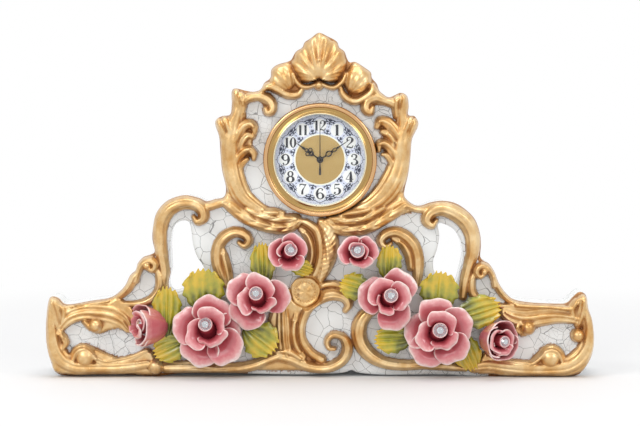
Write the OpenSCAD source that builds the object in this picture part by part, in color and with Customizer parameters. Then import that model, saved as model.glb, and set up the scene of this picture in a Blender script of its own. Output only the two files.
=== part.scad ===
// Baroque ceramic mantel clock with gilt scrollwork, roses and a quartz insert.
// X runs across the clock, -Y is the front, +Z is up, and the table is at Z = 0.

/* [Case] */
// Height of the dial's centre above the table
dial_h = 198; // [192:1:204]
// Thickness of the upper case, front to back
case_t = 34; // [30:1:42]
// Thickness of the foot, front to back
foot_t = 62; // [56:1:72]
// Height at which the foot has swept back into the case
foot_h = 92; // [84:1:100]
// Height of the foot's upright rear face
heel_h = 26; // [18:1:34]
// Rounding of the case's rear edges
edge_r = 5; // [3:0.5:8]
// Depth of the collar behind the case, round the clock insert
collar_t = 7; // [4:1:12]
// Wall of that collar
collar_wall = 10; // [7:1:13]
// Diameter of the vent hole under the foot
vent_d = 9; // [6:1:14]
// Depth of the vent hole
vent_depth = 20; // [10:1:30]

/* [Relief] */
// Steps along each span of a gilt scroll
scroll_steps = 1; // [1:1:2]
// Gap between neighbouring ornaments
relief_gap = 0.4; // [0.2:0.1:1]
// Radius of the medallion
medallion_r = 13; // [10:0.5:15]
// Thickness of the medallion
medallion_t = 6; // [4:0.5:8]
// Radius of the boss at each end of the foot's scroll
knob_r = 7; // [5:0.5:8]
// Height of that boss
knob_t = 10; // [7:0.5:12]

/* [Roses] */
// Radius of the two large roses
rose_large_r = 31.5; // [29:0.5:33]
// Radius of the two middle roses
rose_mid_r = 28; // [26:0.5:29]
// Radius of the two upper roses
rose_top_r = 18; // [16:0.5:19]
// Radius of the two buds
rose_bud_r = 19; // [17:0.5:20]
// How far the large roses stand out from the case
rose_stand = 38; // [36:0.5:44]
// Facets round a rose, four to each petal
rose_sides = 24; // [20:4:32]
// Radius of a rose's stalk, as a share of the rose's radius
stalk_share = 0.33; // [0.28:0.01:0.38]
// Depth of a rhinestone
stone_t = 3; // [2:0.25:4]

/* [Leaves] */
// Height of a leaf's midrib above the case
leaf_rise = 12.6; // [12:0.1:13]
// Thickness of a leaf
leaf_t = 1.3; // [1:0.1:1.5]
// How far a leaf's edges stand above its midrib
leaf_fold = 1; // [0.5:0.1:1.2]
// How deep the teeth at a leaf's end are
leaf_tooth = 4; // [1:0.5:6]
// Gap between a leaf's root and the stalk that it lies against
leaf_gap = 0.3; // [0.2:0.1:0.5]

/* [Clock insert] */
// Width of the bezel, from the dial to its outer edge
bezel_w = 10.15; // [9:0.05:11]
// How far the bezel laps over the case, beyond the bore
bezel_lap = 4.5; // [3.5:0.1:5.5]
// Height of the bezel's bead above the case
bezel_rise = 8.2; // [7.8:0.1:9]
// Gap between the rubber band and the bore
band_gap = 0.2; // [0.1:0.05:0.4]
// Thickness of the rubber band
band_t = 1.4; // [1:0.1:2]
// Diameter of the dial that shows inside the bezel
dial_d = 82.7; // [80:0.1:85]
// Thickness of the dial plate
dial_t = 0.8; // [0.5:0.1:1]
// Diameter of the gilt disc at the dial's centre
disc_d = 44.4; // [40:0.2:48]
// Thickness of that disc
disc_t = 0.4; // [0.2:0.1:0.5]
// Thickness of the lens
lens_t = 1.6; // [1.2:0.1:2]
// Gap between the dial plate and the lens
lens_space = 5; // [4.6:0.1:5.4]
// Wall of the insert's plastic housing
housing_wall = 2; // [1.5:0.1:2.5]
// Depth of the insert's plastic housing
housing_depth = 15; // [14:1:20]

/* [Movement] */
// Width and height of the quartz movement
movement_w = 56; // [54:1:60]
// Thickness of the movement
movement_t = 16; // [15.6:0.1:18]
// Radius of the movement's threaded neck
neck_r = 3.9; // [3.6:0.1:4.2]
// Diameter of the battery
battery_d = 14.2; // [13.8:0.1:14.3]
// Length of the battery
battery_l = 50; // [49:0.5:50.5]
// Rounding of the movement's corners
movement_corner = 4; // [3:0.5:6]
// Clearance round the battery
battery_gap = 0.4; // [0.3:0.1:0.5]
// Thickness of a battery contact
contact_t = 0.5; // [0.3:0.1:0.7]
// Radius of the hand-setting knob
set_knob_r = 6.5; // [5:0.5:8]
// Height of the hand-setting knob
set_knob_t = 2.8; // [2:0.2:4]

/* [Hands] */
// Length of the hour hand
hour_len = 27; // [24:0.5:30]
// Length of the minute hand
minute_len = 33; // [30:0.5:37]
// Length of the second hand
second_len = 34; // [30:0.5:38]
// Length of the second hand's tail
tail_len = 14; // [10:0.5:16]
// Thickness of a hand
hand_t = 0.5; // [0.3:0.05:0.6]
// Gap between one hand and the next
hand_gap = 0.5; // [0.3:0.05:0.6]
// Radius of the hour pipe
hour_pipe_r = 2.6; // [2.4:0.05:2.8]
// Wall of the hour pipe and of the minute pipe
pipe_wall = 0.85; // [0.7:0.05:0.9]
// Radial clearance between one pipe and the next
pipe_gap = 0.06; // [0.04:0.01:0.09]

/* [Hidden] */
$fn = 96;

white = "ivory";
gold = "goldenrod";
pink = "palevioletred";
leaf_green = "yellowgreen";
black = [0.1, 0.1, 0.1];

// The foot's back and the large roses' fronts lie equally far from Y = 0.
front_y = rose_stand - (foot_t + rose_stand) / 2;
bezel_d = dial_d + 2 * bezel_w;
bore_d = bezel_d - 2 * bezel_lap;

// ---------------------------------------------------------------- shared shapes

// Catmull-Rom point between b and c.
function between(a, b, c, d, t) =
    0.5 * (2 * b + (c - a) * t + (2 * a - 5 * b + 4 * c - d) * t * t + (3 * b - a - 3 * c + d) * t * t * t);

// Smooth open curve through the points p.
function smooth(p, steps) = let (n = len(p) - 1) [
    for (i = [0 : n - 1], k = [0 : steps - 1])
        between(p[max(i - 1, 0)], p[i], p[i + 1], p[min(i + 2, n)], k / steps),
    p[n]
];

// Smooth closed curve through the points p.
function smooth_loop(p, steps) = let (n = len(p)) [
    for (i = [0 : n - 1], k = [0 : steps - 1])
        between(p[(i + n - 1) % n], p[i], p[(i + 1) % n], p[(i + 2) % n], k / steps)
];

// Points moved by [right, up]; what else a point holds stays as it is.
function moved(p, by) = [for (q = p) [for (k = [0 : len(q) - 1]) q[k] + (k < 2 ? by[k] : 0)]];

// Stands what is drawn with X right, Y up and Z forward on the front of the case.
module on_front(x = 0, z = 0) translate([x, front_y, z]) rotate([90, 0, 0]) children();

// Joins overlapping faceted pieces into one solid.
module fused() resize([0, 0, 0]) children();

// ---------------------------------------------------------------- gilt scrolls

// Sections of a scroll: [place across, share of its height].
band_section = [[-1, 0], [-0.75, 1], [0, 0.75], [0.75, 1], [1, 0]];
leaf_section = [[-1, 0], [-0.72, 0.7], [0, 1], [0.72, 0.7], [1, 0]];

// The section's corners at station i of a path of [right, up, half width, height].
function station(s, i, section) =
    let (a = s[max(i - 1, 0)], b = s[min(i + 1, len(s) - 1)],
         d = [b[0] - a[0], b[1] - a[1]] / norm([b[0] - a[0], b[1] - a[1]]))
    [for (q = section) [s[i][0] - d[1] * q[0] * s[i][2], s[i][1] + d[0] * q[0] * s[i][2], q[1] * s[i][3]]];

// A scroll along the path p of [right, up, half width, height].
module scroll(p, section) {
    s = smooth(p, scroll_steps);
    n = len(section);
    last = (len(s) - 1) * n;
    m = floor(n / 2);
    sides = [for (i = [0 : len(s) - 2], k = [0 : n - 1]) each
        let (a = i * n + k, b = i * n + (k + 1) % n) [[a, b, b + n], [a, b + n, a + n]]];
    ends = [for (k = [1 : n - 2]) each let (i = (m + k) % n, j = (m + k + 1) % n)
        [[m, j, i], [last + m, last + i, last + j]]];
    polyhedron(points = [for (i = [0 : len(s) - 1]) each station(s, i, section)], faces = concat(sides, ends));
}
module band(p) scroll(p, band_section);
module leaf_scroll(p) scroll(p, leaf_section);

// A low round boss.
module boss(x, y, r, t) translate([x, y, 0]) {
    cylinder(r = r, h = t * 0.55, $fn = 12);
    translate([0, 0, t * 0.55]) cylinder(r1 = r, r2 = r * 0.45, h = t * 0.45, $fn = 12);
}

// ---------------------------------------------------------------- case

// Right half of the outline, from the table up to the waist.
side_low = [
    [236, 0], [246, 14], [250, 34], [248.5, 54], [247, 66], [243.5, 74.5], [237, 74], [231, 67.5],
    [220, 66], [205, 67.5], [190, 69.5], [179, 73.5], [170, 81], [165, 91], [161, 98], [159.5, 104],
    [155, 109], [150, 112], [148, 118], [149.5, 128], [148, 140], [143, 150], [135, 157],
    [125, 161.5], [115, 162], [105, 159]
];
// Right half of the outline from the waist to the top, measured from the dial's centre.
side_high = [
    [97, -39], [88, -36.5], [81, -31], [81, -22], [84, -8], [86, 8], [88, 22], [91.5, 31],
    [89.5, 37.5], [82, 40.5], [80, 50], [79, 59], [74, 62.5], [66, 59.5], [59, 59], [53.5, 64],
    [49.5, 70], [45.5, 76], [44, 82.5], [37, 86.5], [29, 89], [24.5, 93], [22, 98.5],
    [16.5, 102.5], [13.5, 107.5], [7, 111.5], [0, 115]
];
// What lies below the dial stretches upright, so that its outline ends where the upper one starts.
stretch = (dial_h + side_high[0][1]) / side_low[len(side_low) - 1][1];
function stretched(p) = [for (q = p) [q[0], q[1] * stretch]];
// Right-hand opening inside the arm.
arm_opening = [
    [131, 82], [132, 97], [132, 112], [131, 124], [127, 134], [120, 139.5], [113.5, 138.5],
    [111, 129], [110, 118], [107, 107], [105.5, 97], [111, 87], [121, 79]
];
side = smooth(concat(stretched(side_low), moved(side_high, [0, dial_h])), 2);
outline = concat(side, [for (i = [len(side) - 2 : -1 : 0]) [-side[i][0], side[i][1]]]);
top_z = dial_h + side_high[len(side_high) - 1][1];
half_w = max([for (q = outline) q[0]]);

module case_plan(inset) offset(delta = -inset) difference() {
    polygon(outline);
    for (s = [-1, 1]) polygon([for (q = smooth_loop(stretched(arm_opening), 2)) [s * q[0], q[1]]]);
}

// Side profile of the case as [back from the front face, up], cut short by less.
function side_profile(less) = concat(
    [[0, -1], [foot_t - less, -1]],
    smooth([[foot_t - less, heel_h], [foot_t - less - 7, heel_h + 22], [case_t - less + 4, foot_h - 14],
            [case_t - less, foot_h]], 3),
    [[case_t - less, top_z + 1], [0, top_z + 1]]);

// One layer of the case: the outline drawn in by inset, and the side profile cut short by less.
module case_layer(inset, less) intersection() {
    translate([0, foot_t, 0]) rotate([90, 0, 0]) linear_extrude(foot_t) case_plan(inset);
    translate([-half_w - 1, 0, 0]) rotate([90, 0, 90]) linear_extrude(2 * half_w + 2)
        polygon(side_profile(less));
}

module case_body() color(white) translate([0, front_y, 0]) difference() {
    union() {
        case_layer(0, edge_r);
        case_layer(edge_r * 0.3, edge_r * 0.3);
        case_layer(edge_r, 0);
        translate([0, 0, dial_h]) rotate([-90, 0, 0])
            cylinder(d = bore_d + 2 * collar_wall, h = case_t + collar_t);
    }
    translate([0, -1, dial_h]) rotate([-90, 0, 0]) cylinder(d = bore_d, h = case_t + collar_t + 2);
    translate([0, foot_t / 2, -1]) cylinder(d = vent_d, h = vent_depth + 1);
}

// ---------------------------------------------------------------- relief

// Paths of [right, up, half width, height]; those of the crest are measured from the dial's centre.
crest_frame = [[73.5, 55, 3, 6], [75, 45, 5, 8], [78, 31, 7.5, 9], [78.5, 17, 9, 10], [78, 3, 9.5, 10],
    [75.5, -10, 10.5, 11], [71, -23, 10.5, 11], [64, -34, 9, 10], [55, -42, 7.3, 9],
    [44, -46, 5.5, 8], [31, -49.5, 2.6, 7]];
crest_tip = [[72.5, 42, 4.5, 6], [74.5, 50, 5.2, 10], [76, 57, 3.4, 12], [76.3, 61, 1.6, 10]];
crest_side = [[81, 12, 4.5, 6], [83.5, 23, 5.2, 9], [86.5, 31, 4.4, 12], [88.5, 36, 1.8, 11]];
crest_top = [[73, 42, 3, 6], [70, 49, 4, 8], [63, 54, 4, 9], [55.5, 56, 3.5, 10], [47.5, 55, 4, 11],
    [42, 51, 4, 12], [42.5, 44, 3.6, 12], [46.5, 41.5, 2.8, 11], [49, 45.5, 2.3, 10]];
crest_lobe_a = [[77, 13, 3.5, 6], [72, 24, 4.5, 9], [67, 31, 4, 10], [61, 34, 3.5, 11],
    [57, 30, 3, 11], [57.5, 24.5, 2, 9]];
crest_lobe_b = [[74, -5, 3.2, 6], [71, 5, 3.7, 9], [66, 10.5, 3.3, 10], [60.5, 12, 3.2, 11],
    [57, 8, 2.5, 10], [58, 4, 1.5, 8]];
under_leaf = [[92, -42, 3.4, 7], [85, -41, 4.8, 8], [78, -41, 5.5, 9], [68.5, -48, 6.5, 10],
    [58, -54, 7.5, 11], [47, -59, 7.5, 12], [35, -61.5, 7.5, 13], [23.5, -59.5, 6, 13], [15, -55, 2.5, 10]];
under_ball = [[50, -46, 3.2, 7], [40.5, -48.5, 3.7, 10], [31, -50, 3.2, 12], [23, -52, 2.6, 10]];
arm_frame = [[134, 76, 4, 6], [136, 90, 5, 8], [139.5, 105, 5.5, 9], [142, 120, 6.3, 10],
    [140.5, 136, 7.3, 10], [134.5, 148, 7.5, 11], [124.5, 155, 6.8, 12], [112.5, 156.5, 6, 12],
    [104, 151.5, 5.5, 12], [102, 144.5, 5, 12], [107, 140, 3.5, 12], [110.5, 145, 2.5, 10]];
volute_out = [[188, 68, 2.5, 5], [179, 71, 3, 7], [171, 77.5, 4, 9], [164.5, 87, 4.5, 10],
    [160, 96, 4.2, 11], [156, 103, 4, 12], [150, 104.5, 4, 12], [146, 99.5, 3.5, 12],
    [149, 94.5, 2.5, 11], [153, 97.5, 2.3, 11]];
volute_in = [[143.5, 95, 2.5, 6], [141, 86, 3.5, 8], [143, 76, 3.5, 8], [150, 70, 3.5, 8],
    [159, 67.5, 2.5, 7], [168, 67.5, 1.8, 6]];
base_end = [[242.5, 66, 4, 8], [243, 54.5, 6, 10], [242.5, 41, 7.2, 11], [240.5, 27, 8.5, 11],
    [234, 15, 9, 11], [222, 9.5, 8.5, 11], [206, 8.5, 7.5, 10], [189, 8, 7.3, 10], [170.5, 9, 7, 10],
    [159.5, 10.5, 6, 9]];
horn = [[238, 49, 5, 7], [240, 59, 6, 11], [241, 67, 4.8, 13], [241.5, 72.5, 1.8, 12]];
horn_in = [[235.5, 53, 3.5, 6], [232.5, 61, 4.3, 10], [235.5, 67, 3.6, 12], [239.5, 71, 1.8, 11]];
base_curl = [[221, 12, 4, 7], [219, 21.5, 4.5, 10], [213.5, 26.5, 4.5, 12], [207, 25, 4, 12],
    [202, 18.5, 3.5, 11], [194, 14, 3, 10], [181, 15, 3, 9], [168, 18, 2.7, 9], [157, 22, 2.5, 8]];
base_top = [[239, 51, 3.5, 6], [229, 56, 6, 8], [216.5, 58, 6.5, 9], [202, 58.5, 7.4, 10],
    [189, 58, 7.6, 10], [179, 55.5, 6.5, 10], [173, 52, 3.5, 9]];
base_rim = [[229, 64, 2.5, 10], [215, 65, 2.4, 11], [202, 66.2, 2.3, 11], [190.5, 67.3, 2.2, 11]];
base_drop = [[199, 53, 4, 8], [196, 47, 5, 11], [194, 41, 2.5, 10]];
inner_c = [[86, 86, 3.5, 7], [90, 96.5, 4.5, 9], [91.5, 108, 5, 10], [89.5, 119.5, 5, 10],
    [82.5, 128.5, 5, 10], [73, 132, 5, 10], [64.5, 130, 4.5, 11], [60.5, 124.5, 4, 11],
    [65, 120, 2.8, 10], [69, 123, 2, 9]];
inner_leaf = [[73, 121, 2.2, 8], [80, 114, 3.4, 9], [82.5, 103.5, 4, 9], [82, 93.5, 3.5, 8]];
skirt = [[-139, 8, 4.5, 10], [-118.5, 7.5, 4.5, 10], [-95.5, 6, 4, 10], [-73, 6, 4, 10],
    [-58.5, 9, 4.5, 10], [-47.5, 16, 5, 10], [-36.5, 20, 5.5, 9]];
big_cee = [[23, 62.5, 2.5, 10], [24.5, 68, 4, 10.5], [19.5, 73, 4.6, 10.5], [10.5, 74.5, 5, 10.5],
    [-0.5, 71, 5, 10.5], [-9.5, 63.5, 4, 10.5], [-15, 53.5, 4, 10.5], [-17, 42.5, 3.5, 10.5],
    [-15, 32, 3.5, 10.5], [-7.5, 22, 4, 10.5], [1.5, 16.5, 4.5, 10.5]];
cee_back = [[-1, 81, 2.5, 6], [7, 83, 3, 7], [16, 82, 3.2, 7], [23, 76, 3.2, 7], [27.5, 68, 2.5, 6]];
spiral = [[-35, 19, 4.5, 9], [-25, 16.5, 5, 10], [-14, 11.5, 5, 11], [-1.5, 8.5, 5, 11],
    [10.5, 10, 5, 12], [20.5, 17, 5, 12], [24, 27, 4.5, 12], [20, 36, 4, 12], [12, 37.5, 3.2, 12],
    [7.5, 32.5, 2.8, 12], [10, 28, 2.4, 12]];
trunk = [[-34, 58, 5.5, 8], [-32, 47, 7.5, 10], [-30.5, 34.5, 8, 10.5], [-27.5, 23.5, 8, 10],
    [-20.5, 17, 5.5, 9]];
right_cee = [[46.5, 60, 3.5, 8], [38, 54.5, 5.5, 10], [34.5, 43.5, 6.5, 10.5], [37, 31, 6.5, 10.5],
    [46, 20, 6, 10.5], [58.5, 13, 5, 10.5], [76, 10.5, 4, 10], [94, 10.5, 3.8, 10],
    [114, 9.5, 3.5, 9.5], [139, 8.5, 4.5, 9.5]];
neck_out = [[-8, 137, 3.2, 9], [-3.5, 131.5, 3.8, 10], [-0.8, 121.5, 4, 10], [-0.8, 109, 4, 10],
    [-4, 97, 3, 8]];
neck_in = [[-16, 132, 2.5, 7], [-10.5, 126, 3.5, 9], [-7.5, 117, 4, 9], [-8.5, 106, 3.8, 8.5],
    [-12, 99, 2.5, 7]];
neck_leaf = [[1, 141, 3.2, 8], [6, 134, 6.5, 11], [8, 122.5, 7.5, 12], [7, 110.5, 7.5, 12],
    [4, 100, 6, 10], [0.5, 90, 4, 8]];
shell_lip = [[21.5, 74, 2, 8], [14, 71.5, 3, 10], [6.5, 68.5, 2.6, 9], [1.5, 65, 2, 8]];
shell_lobe = [[38, 62, 3, 7], [41, 70.5, 6, 10], [36, 79, 6.5, 11], [28.5, 83, 4, 9]];
shell_curl = [[50.5, 64.5, 2, 7], [45.5, 63.5, 2.6, 9], [39, 65, 3, 9]];
// Tips of the shell's ribs on the right, from the middle out.
shell_tips = [[0, 112.5], [8, 109], [14.5, 103.5], [20, 96.5], [23.5, 89]];
shell_foot = [0, 80];

// Where each rose sits: [right, up, radius, stand, lean of its face to the right].
rose_large_left_at = [-101, 45 * stretch, rose_large_r, rose_stand, 0];
rose_mid_left_at = [-55.5, 72.5 * stretch, rose_mid_r, rose_stand - 2, 0];
rose_top_left_at = [-29, 114.5 * stretch, rose_top_r, rose_stand - 7, 0];
rose_bud_left_at = [-155.5, 48 * stretch, rose_bud_r, rose_stand - 4, -9];
rose_large_right_at = [106.5, 42.5 * stretch, rose_large_r, rose_stand, 0];
rose_mid_right_at = [61, 73 * stretch, rose_mid_r, rose_stand - 2, 0];
rose_top_right_at = [34, 114 * stretch, rose_top_r, rose_stand - 7, 0];
rose_bud_right_at = [160, 35.5 * stretch, rose_bud_r, rose_stand - 4, 6];
roses = [rose_large_left_at, rose_mid_left_at, rose_top_left_at, rose_bud_left_at,
    rose_large_right_at, rose_mid_right_at, rose_top_right_at, rose_bud_right_at];
medallion_at = [-13.5, 78 * stretch];

// Relief with the seats of the roses, the medallion and the bezel cut through it.
module relief() on_front() fused() difference() {
    children();
    translate([0, dial_h, -1]) cylinder(d = bezel_d + 2 * relief_gap, h = rose_stand);
    for (q = roses) translate([q[0], q[1], -1])
        cylinder(r = q[2] * stalk_share + relief_gap, h = rose_stand, $fn = rose_sides);
    translate([medallion_at[0], medallion_at[1], -1])
        cylinder(r = medallion_r + relief_gap, h = rose_stand, $fn = 24);
}

module crest_half(s) relief() scale([s, 1, 1]) translate([0, dial_h, 0]) {
    band(crest_frame);
    leaf_scroll(crest_tip);
    leaf_scroll(crest_side);
    band(crest_top);
    leaf_scroll(crest_lobe_a);
    leaf_scroll(crest_lobe_b);
    leaf_scroll(under_leaf);
    leaf_scroll(under_ball);
}
module crest_gilding_left() color(gold) crest_half(-1);
module crest_gilding_right() color(gold) crest_half(1);

module arm_half(s) relief() scale([s, stretch, 1]) {
    band(arm_frame);
    band(volute_out);
    band(volute_in);
}
module arm_gilding_left() color(gold) arm_half(-1);
module arm_gilding_right() color(gold) arm_half(1);

module base_half(s) relief() scale([s, stretch, 1]) {
    band(base_end);
    leaf_scroll(horn);
    leaf_scroll(horn_in);
    leaf_scroll(base_curl);
    leaf_scroll(base_top);
    band(base_rim);
    leaf_scroll(base_drop);
    boss(150, 10.5, knob_r, knob_t);
}
module base_gilding_left() color(gold) base_half(-1);
module base_gilding_right() color(gold) base_half(1);

module centre_gilding() color(gold) relief() scale([1, stretch, 1]) {
    for (s = [-1, 1]) scale([s, 1, 1]) {
        band(inner_c);
        leaf_scroll(inner_leaf);
    }
    band(skirt);
    band(big_cee);
    band(cee_back);
    band(spiral);
    leaf_scroll(trunk);
    band(right_cee);
    band(neck_out);
    leaf_scroll(neck_in);
    leaf_scroll(neck_leaf);
}

module shell_rib(tip) {
    root = shell_foot + (tip - shell_foot) * 0.2;
    middle = shell_foot + (tip - shell_foot) * 0.6;
    leaf_scroll([[root[0], root[1], 1.2, 7], [middle[0], middle[1], 3, 11], [tip[0], tip[1], 3, 9]]);
}

module shell_crest() color(gold) on_front(0, dial_h) fused() {
    shell_rib([0, shell_tips[0][1]]);
    for (s = [-1, 1]) scale([s, 1, 1]) {
        for (i = [1 : len(shell_tips) - 1]) shell_rib(shell_tips[i]);
        leaf_scroll(shell_lip);
        leaf_scroll(shell_lobe);
        leaf_scroll(shell_curl);
    }
    boss(0, shell_foot[1] + 2, 7, 9);
    boss(0, shell_foot[1] - 11, 5, 10);
}

// A round medallion with a raised rim.
module medallion() color(gold) on_front(medallion_at[0], medallion_at[1]) rotate_extrude()
    polygon([[0, 0], [medallion_r, 0], [medallion_r, medallion_t - 1.5], [medallion_r - 1.5, medallion_t],
        [medallion_r - 3, medallion_t - 1.5], [0, medallion_t - 1.5]]);

// ---------------------------------------------------------------- roses

// Rings of a rose: [radius, height, depth of the petals' lobes, turn in petals], as shares.
rose_rings = [
    [0, 0, 0, 0], [stalk_share, 0, 0, 0], [stalk_share, 0.42, 0, 0], [0.75, 0.44, 0.04, 0],
    [0.98, 0.53, 0.07, 0], [0.93, 0.58, 0.07, 0], [0.77, 0.52, 0.04, 0.25], [0.7, 0.75, 0.06, 0.5],
    [0.58, 0.64, 0.04, 0.5], [0.5, 0.9, 0.05, 0], [0.38, 0.78, 0.03, 0], [0.31, 1, 0.03, 0.5],
    [0.22, 0.84, 0, 0], [0, 0.84, 0, 0]
];
seat_ring = 12;
petals = rose_sides / 4;

function rose_point(at, g, k) = let (
        turn = 360 * k / rose_sides,
        r = at[2] * g[0] * (1 - g[2] + g[2] * cos((turn + 360 * g[3] / petals) * petals)),
        lean = at[4] * max(0, (g[1] - 0.42) / 0.58))
    [at[0] + lean + r * cos(turn), at[1] + r * sin(turn), at[3] * g[1]];

// A rose whose petals rise in rings from its stalk, less a round bite where a neighbour lies over it.
module rose(at, over = [0, 0, 0]) color(pink) on_front() fused() difference() {
    n = rose_sides;
    last = len(rose_rings) - 1;
    points = concat([rose_point(at, rose_rings[0], 0)],
        [for (i = [1 : last - 1], k = [0 : n - 1]) rose_point(at, rose_rings[i], k)],
        [rose_point(at, rose_rings[last], 0)]);
    foot = [for (k = [0 : n - 1]) [0, 1 + k, 1 + (k + 1) % n]];
    skin = [for (i = [0 : last - 3], k = [0 : n - 1]) each
        let (a = 1 + i * n + k, b = 1 + i * n + (k + 1) % n) [[a, a + n, b + n], [a, b + n, b]]];
    top = 1 + (last - 2) * n;
    cap = [for (k = [0 : n - 1]) [top + k, len(points) - 1, top + (k + 1) % n]];
    polyhedron(points = points, faces = concat(foot, skin, cap));
    if (over[2] > 0) translate([over[0], over[1], rose_stand * 0.3])
        cylinder(r = over[2] + relief_gap, h = rose_stand, $fn = rose_sides);
}
module rose_large_left() rose(rose_large_left_at);
module rose_mid_left() rose(rose_mid_left_at, rose_large_left_at);
module rose_top_left() rose(rose_top_left_at);
module rose_bud_left() rose(rose_bud_left_at);
module rose_large_right() rose(rose_large_right_at);
module rose_mid_right() rose(rose_mid_right_at, rose_large_right_at);
module rose_top_right() rose(rose_top_right_at);
module rose_bud_right() rose(rose_bud_right_at);

// A cut stone on the floor of each rose's centre.
module rhinestones() color("lightcyan") on_front() for (q = roses) {
    floor_ring = rose_rings[seat_ring];
    stone_r = q[2] * floor_ring[0] * 0.86;
    translate([q[0] + q[4] * (floor_ring[1] - 0.42) / 0.58, q[1], q[3] * floor_ring[1]]) {
        cylinder(r = stone_r, h = stone_t * 0.3, $fn = 10);
        translate([0, 0, stone_t * 0.3]) cylinder(r1 = stone_r, r2 = stone_r * 0.55, h = stone_t * 0.7, $fn = 10);
    }
}

// ---------------------------------------------------------------- leaves

// Sections along a leaf: [share of its length, share of its half width].
leaf_stations = [[0, 0.3], [0.16, 0.68], [0.32, 0.84], [0.48, 1], [0.64, 0.9], [0.8, 0.88], [1, 0.5]];
// Pleats across a leaf: [share of its half width, share of the fold, share of a tooth's depth at its end].
leaf_pleats = [[-1, 1, 0.6], [-0.72, 0.35, 1], [-0.4, 0.9, 0.2], [0, 0, 0], [0.4, 0.9, 0.2], [0.72, 0.35, 1],
    [1, 1, 0.6]];

// A pleated leaf with a toothed edge, from the stalk of the rose at: its direction, reach from the
// rose's centre and half width.
module rose_leaf(at, angle, reach, half, rise = leaf_rise) color(leaf_green) on_front()
translate([at[0], at[1], 0]) rotate([0, 0, angle]) {
    start = at[2] * stalk_share + leaf_gap;
    across = len(leaf_pleats);
    n = 2 * across;
    last = (len(leaf_stations) - 1) * n;
    rows = [for (s = leaf_stations) let (h = rise + 0.6 * sin(180 * s[0]))
        [for (below = [0, 1], k = [0 : across - 1]) let (q = leaf_pleats[below ? across - 1 - k : k])
            [start + (reach - start) * s[0] - leaf_tooth * q[2] * s[0], half * s[1] * q[0],
             h + leaf_fold * q[1] - leaf_t * below]]];
    skin = [for (i = [0 : len(rows) - 2], k = [0 : n - 1]) each
        let (a = i * n + k, b = i * n + (k + 1) % n) [[a, b, b + n], [a, b + n, a + n]]];
    ends = [for (k = [0 : across - 2]) each let (f = [k, n - 1 - k, n - 2 - k, k + 1])
        [[f[0], f[1], f[2]], [f[0], f[2], f[3]],
         [last + f[0], last + f[2], last + f[1]], [last + f[0], last + f[3], last + f[2]]]];
    polyhedron(points = [for (r = rows) each r], faces = concat(skin, ends));
}

module leaf_a() rose_leaf(rose_bud_left_at, 68, 41, 10);
module leaf_b() rose_leaf(rose_large_left_at, 76, 55, 13);
module leaf_c() rose_leaf(rose_mid_left_at, 90, 52, 8);
module leaf_d() rose_leaf(rose_large_left_at, 206, 56, 10);
module leaf_e() rose_leaf(rose_mid_left_at, -78, 57, 12);
module leaf_f() rose_leaf(rose_top_left_at, -44, 28, 7, leaf_rise - 2);
module leaf_g() rose_leaf(rose_mid_right_at, 89, 48, 9);
module leaf_h() rose_leaf(rose_mid_right_at, 161, 45, 10);
module leaf_i() rose_leaf(rose_large_right_at, 75, 55, 13);
module leaf_j() rose_leaf(rose_large_right_at, 25, 63, 11);
module leaf_k() rose_leaf(rose_large_right_at, 190, 58, 11);
module leaf_l() rose_leaf(rose_large_right_at, -42, 48, 10);

// ---------------------------------------------------------------- clock insert

bezel_r = bezel_d / 2;
band_r = bore_d / 2 - band_gap;
housing_r = band_r - band_t;
seat_gap = 0.3;
housing_front = -1.6;
lip = 2.6;
dial_r = dial_d / 2;
lens_r = dial_r + lip;
dial_front = housing_front + dial_t;
lens_back = dial_front + lens_space;
lens_front = lens_back + lens_t;
bead_r = 2.15;
movement_front = housing_front - housing_wall;
movement_back = movement_front - movement_t;

module at_dial() on_front(0, dial_h) children();

module bezel_ring() color("gold") at_dial() rotate_extrude() polygon(concat(
    [[lens_r, housing_front], [housing_r, housing_front], [housing_r, seat_gap], [bezel_r, seat_gap]],
    [for (a = [0 : 30 : 180]) [bezel_r - bead_r + bead_r * cos(a), bezel_rise - bead_r + bead_r * sin(a)]],
    [[dial_r + 3.6, lens_front + 0.2], [dial_r + 0.9, lens_front + 0.8], [dial_r, lens_front + 1.2],
     [dial_r, lens_front], [lens_r, lens_front]]));

module lens() color("aliceblue", 0.4) at_dial()
    translate([0, 0, lens_back]) cylinder(r = lens_r, h = lens_t);

module dial_plate() color("lavender") at_dial() translate([0, 0, housing_front]) difference() {
    cylinder(r = lens_r, h = dial_t);
    translate([0, 0, -1]) cylinder(r = neck_r + 0.1, h = dial_t + 2);
}

module dial_centre_disc() color(gold) at_dial() translate([0, 0, dial_front]) difference() {
    cylinder(d = disc_d, h = disc_t);
    translate([0, 0, -1]) cylinder(r = hour_pipe_r + 0.4, h = disc_t + 2);
}

module insert_housing() color(black) at_dial() difference() {
    translate([0, 0, housing_front - housing_depth]) cylinder(r = housing_r, h = housing_depth);
    translate([0, 0, housing_front - housing_depth - 1])
        cylinder(r = housing_r - housing_wall, h = housing_depth + 1 - housing_wall);
    translate([0, 0, housing_front - housing_wall - 1]) cylinder(r = neck_r + 0.1, h = housing_wall + 2);
}

// Rubber band whose three ribs hold the insert in the bore.
band_ribs = 3;
rib_pitch = 3;
module retaining_band() color([0.2, 0.2, 0.2]) at_dial()
    translate([0, 0, housing_front - housing_depth / 2 - band_ribs * rib_pitch / 2]) rotate_extrude()
        polygon(concat([[housing_r, band_ribs * rib_pitch], [housing_r, 0]],
            [for (i = [0 : band_ribs - 1], q = [[-0.5, 0.4], [0, 1.2], [0, 1.8], [-0.5, 2.6]])
                [band_r + q[0], i * rib_pitch + q[1]]]));

// ---------------------------------------------------------------- movement

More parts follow.
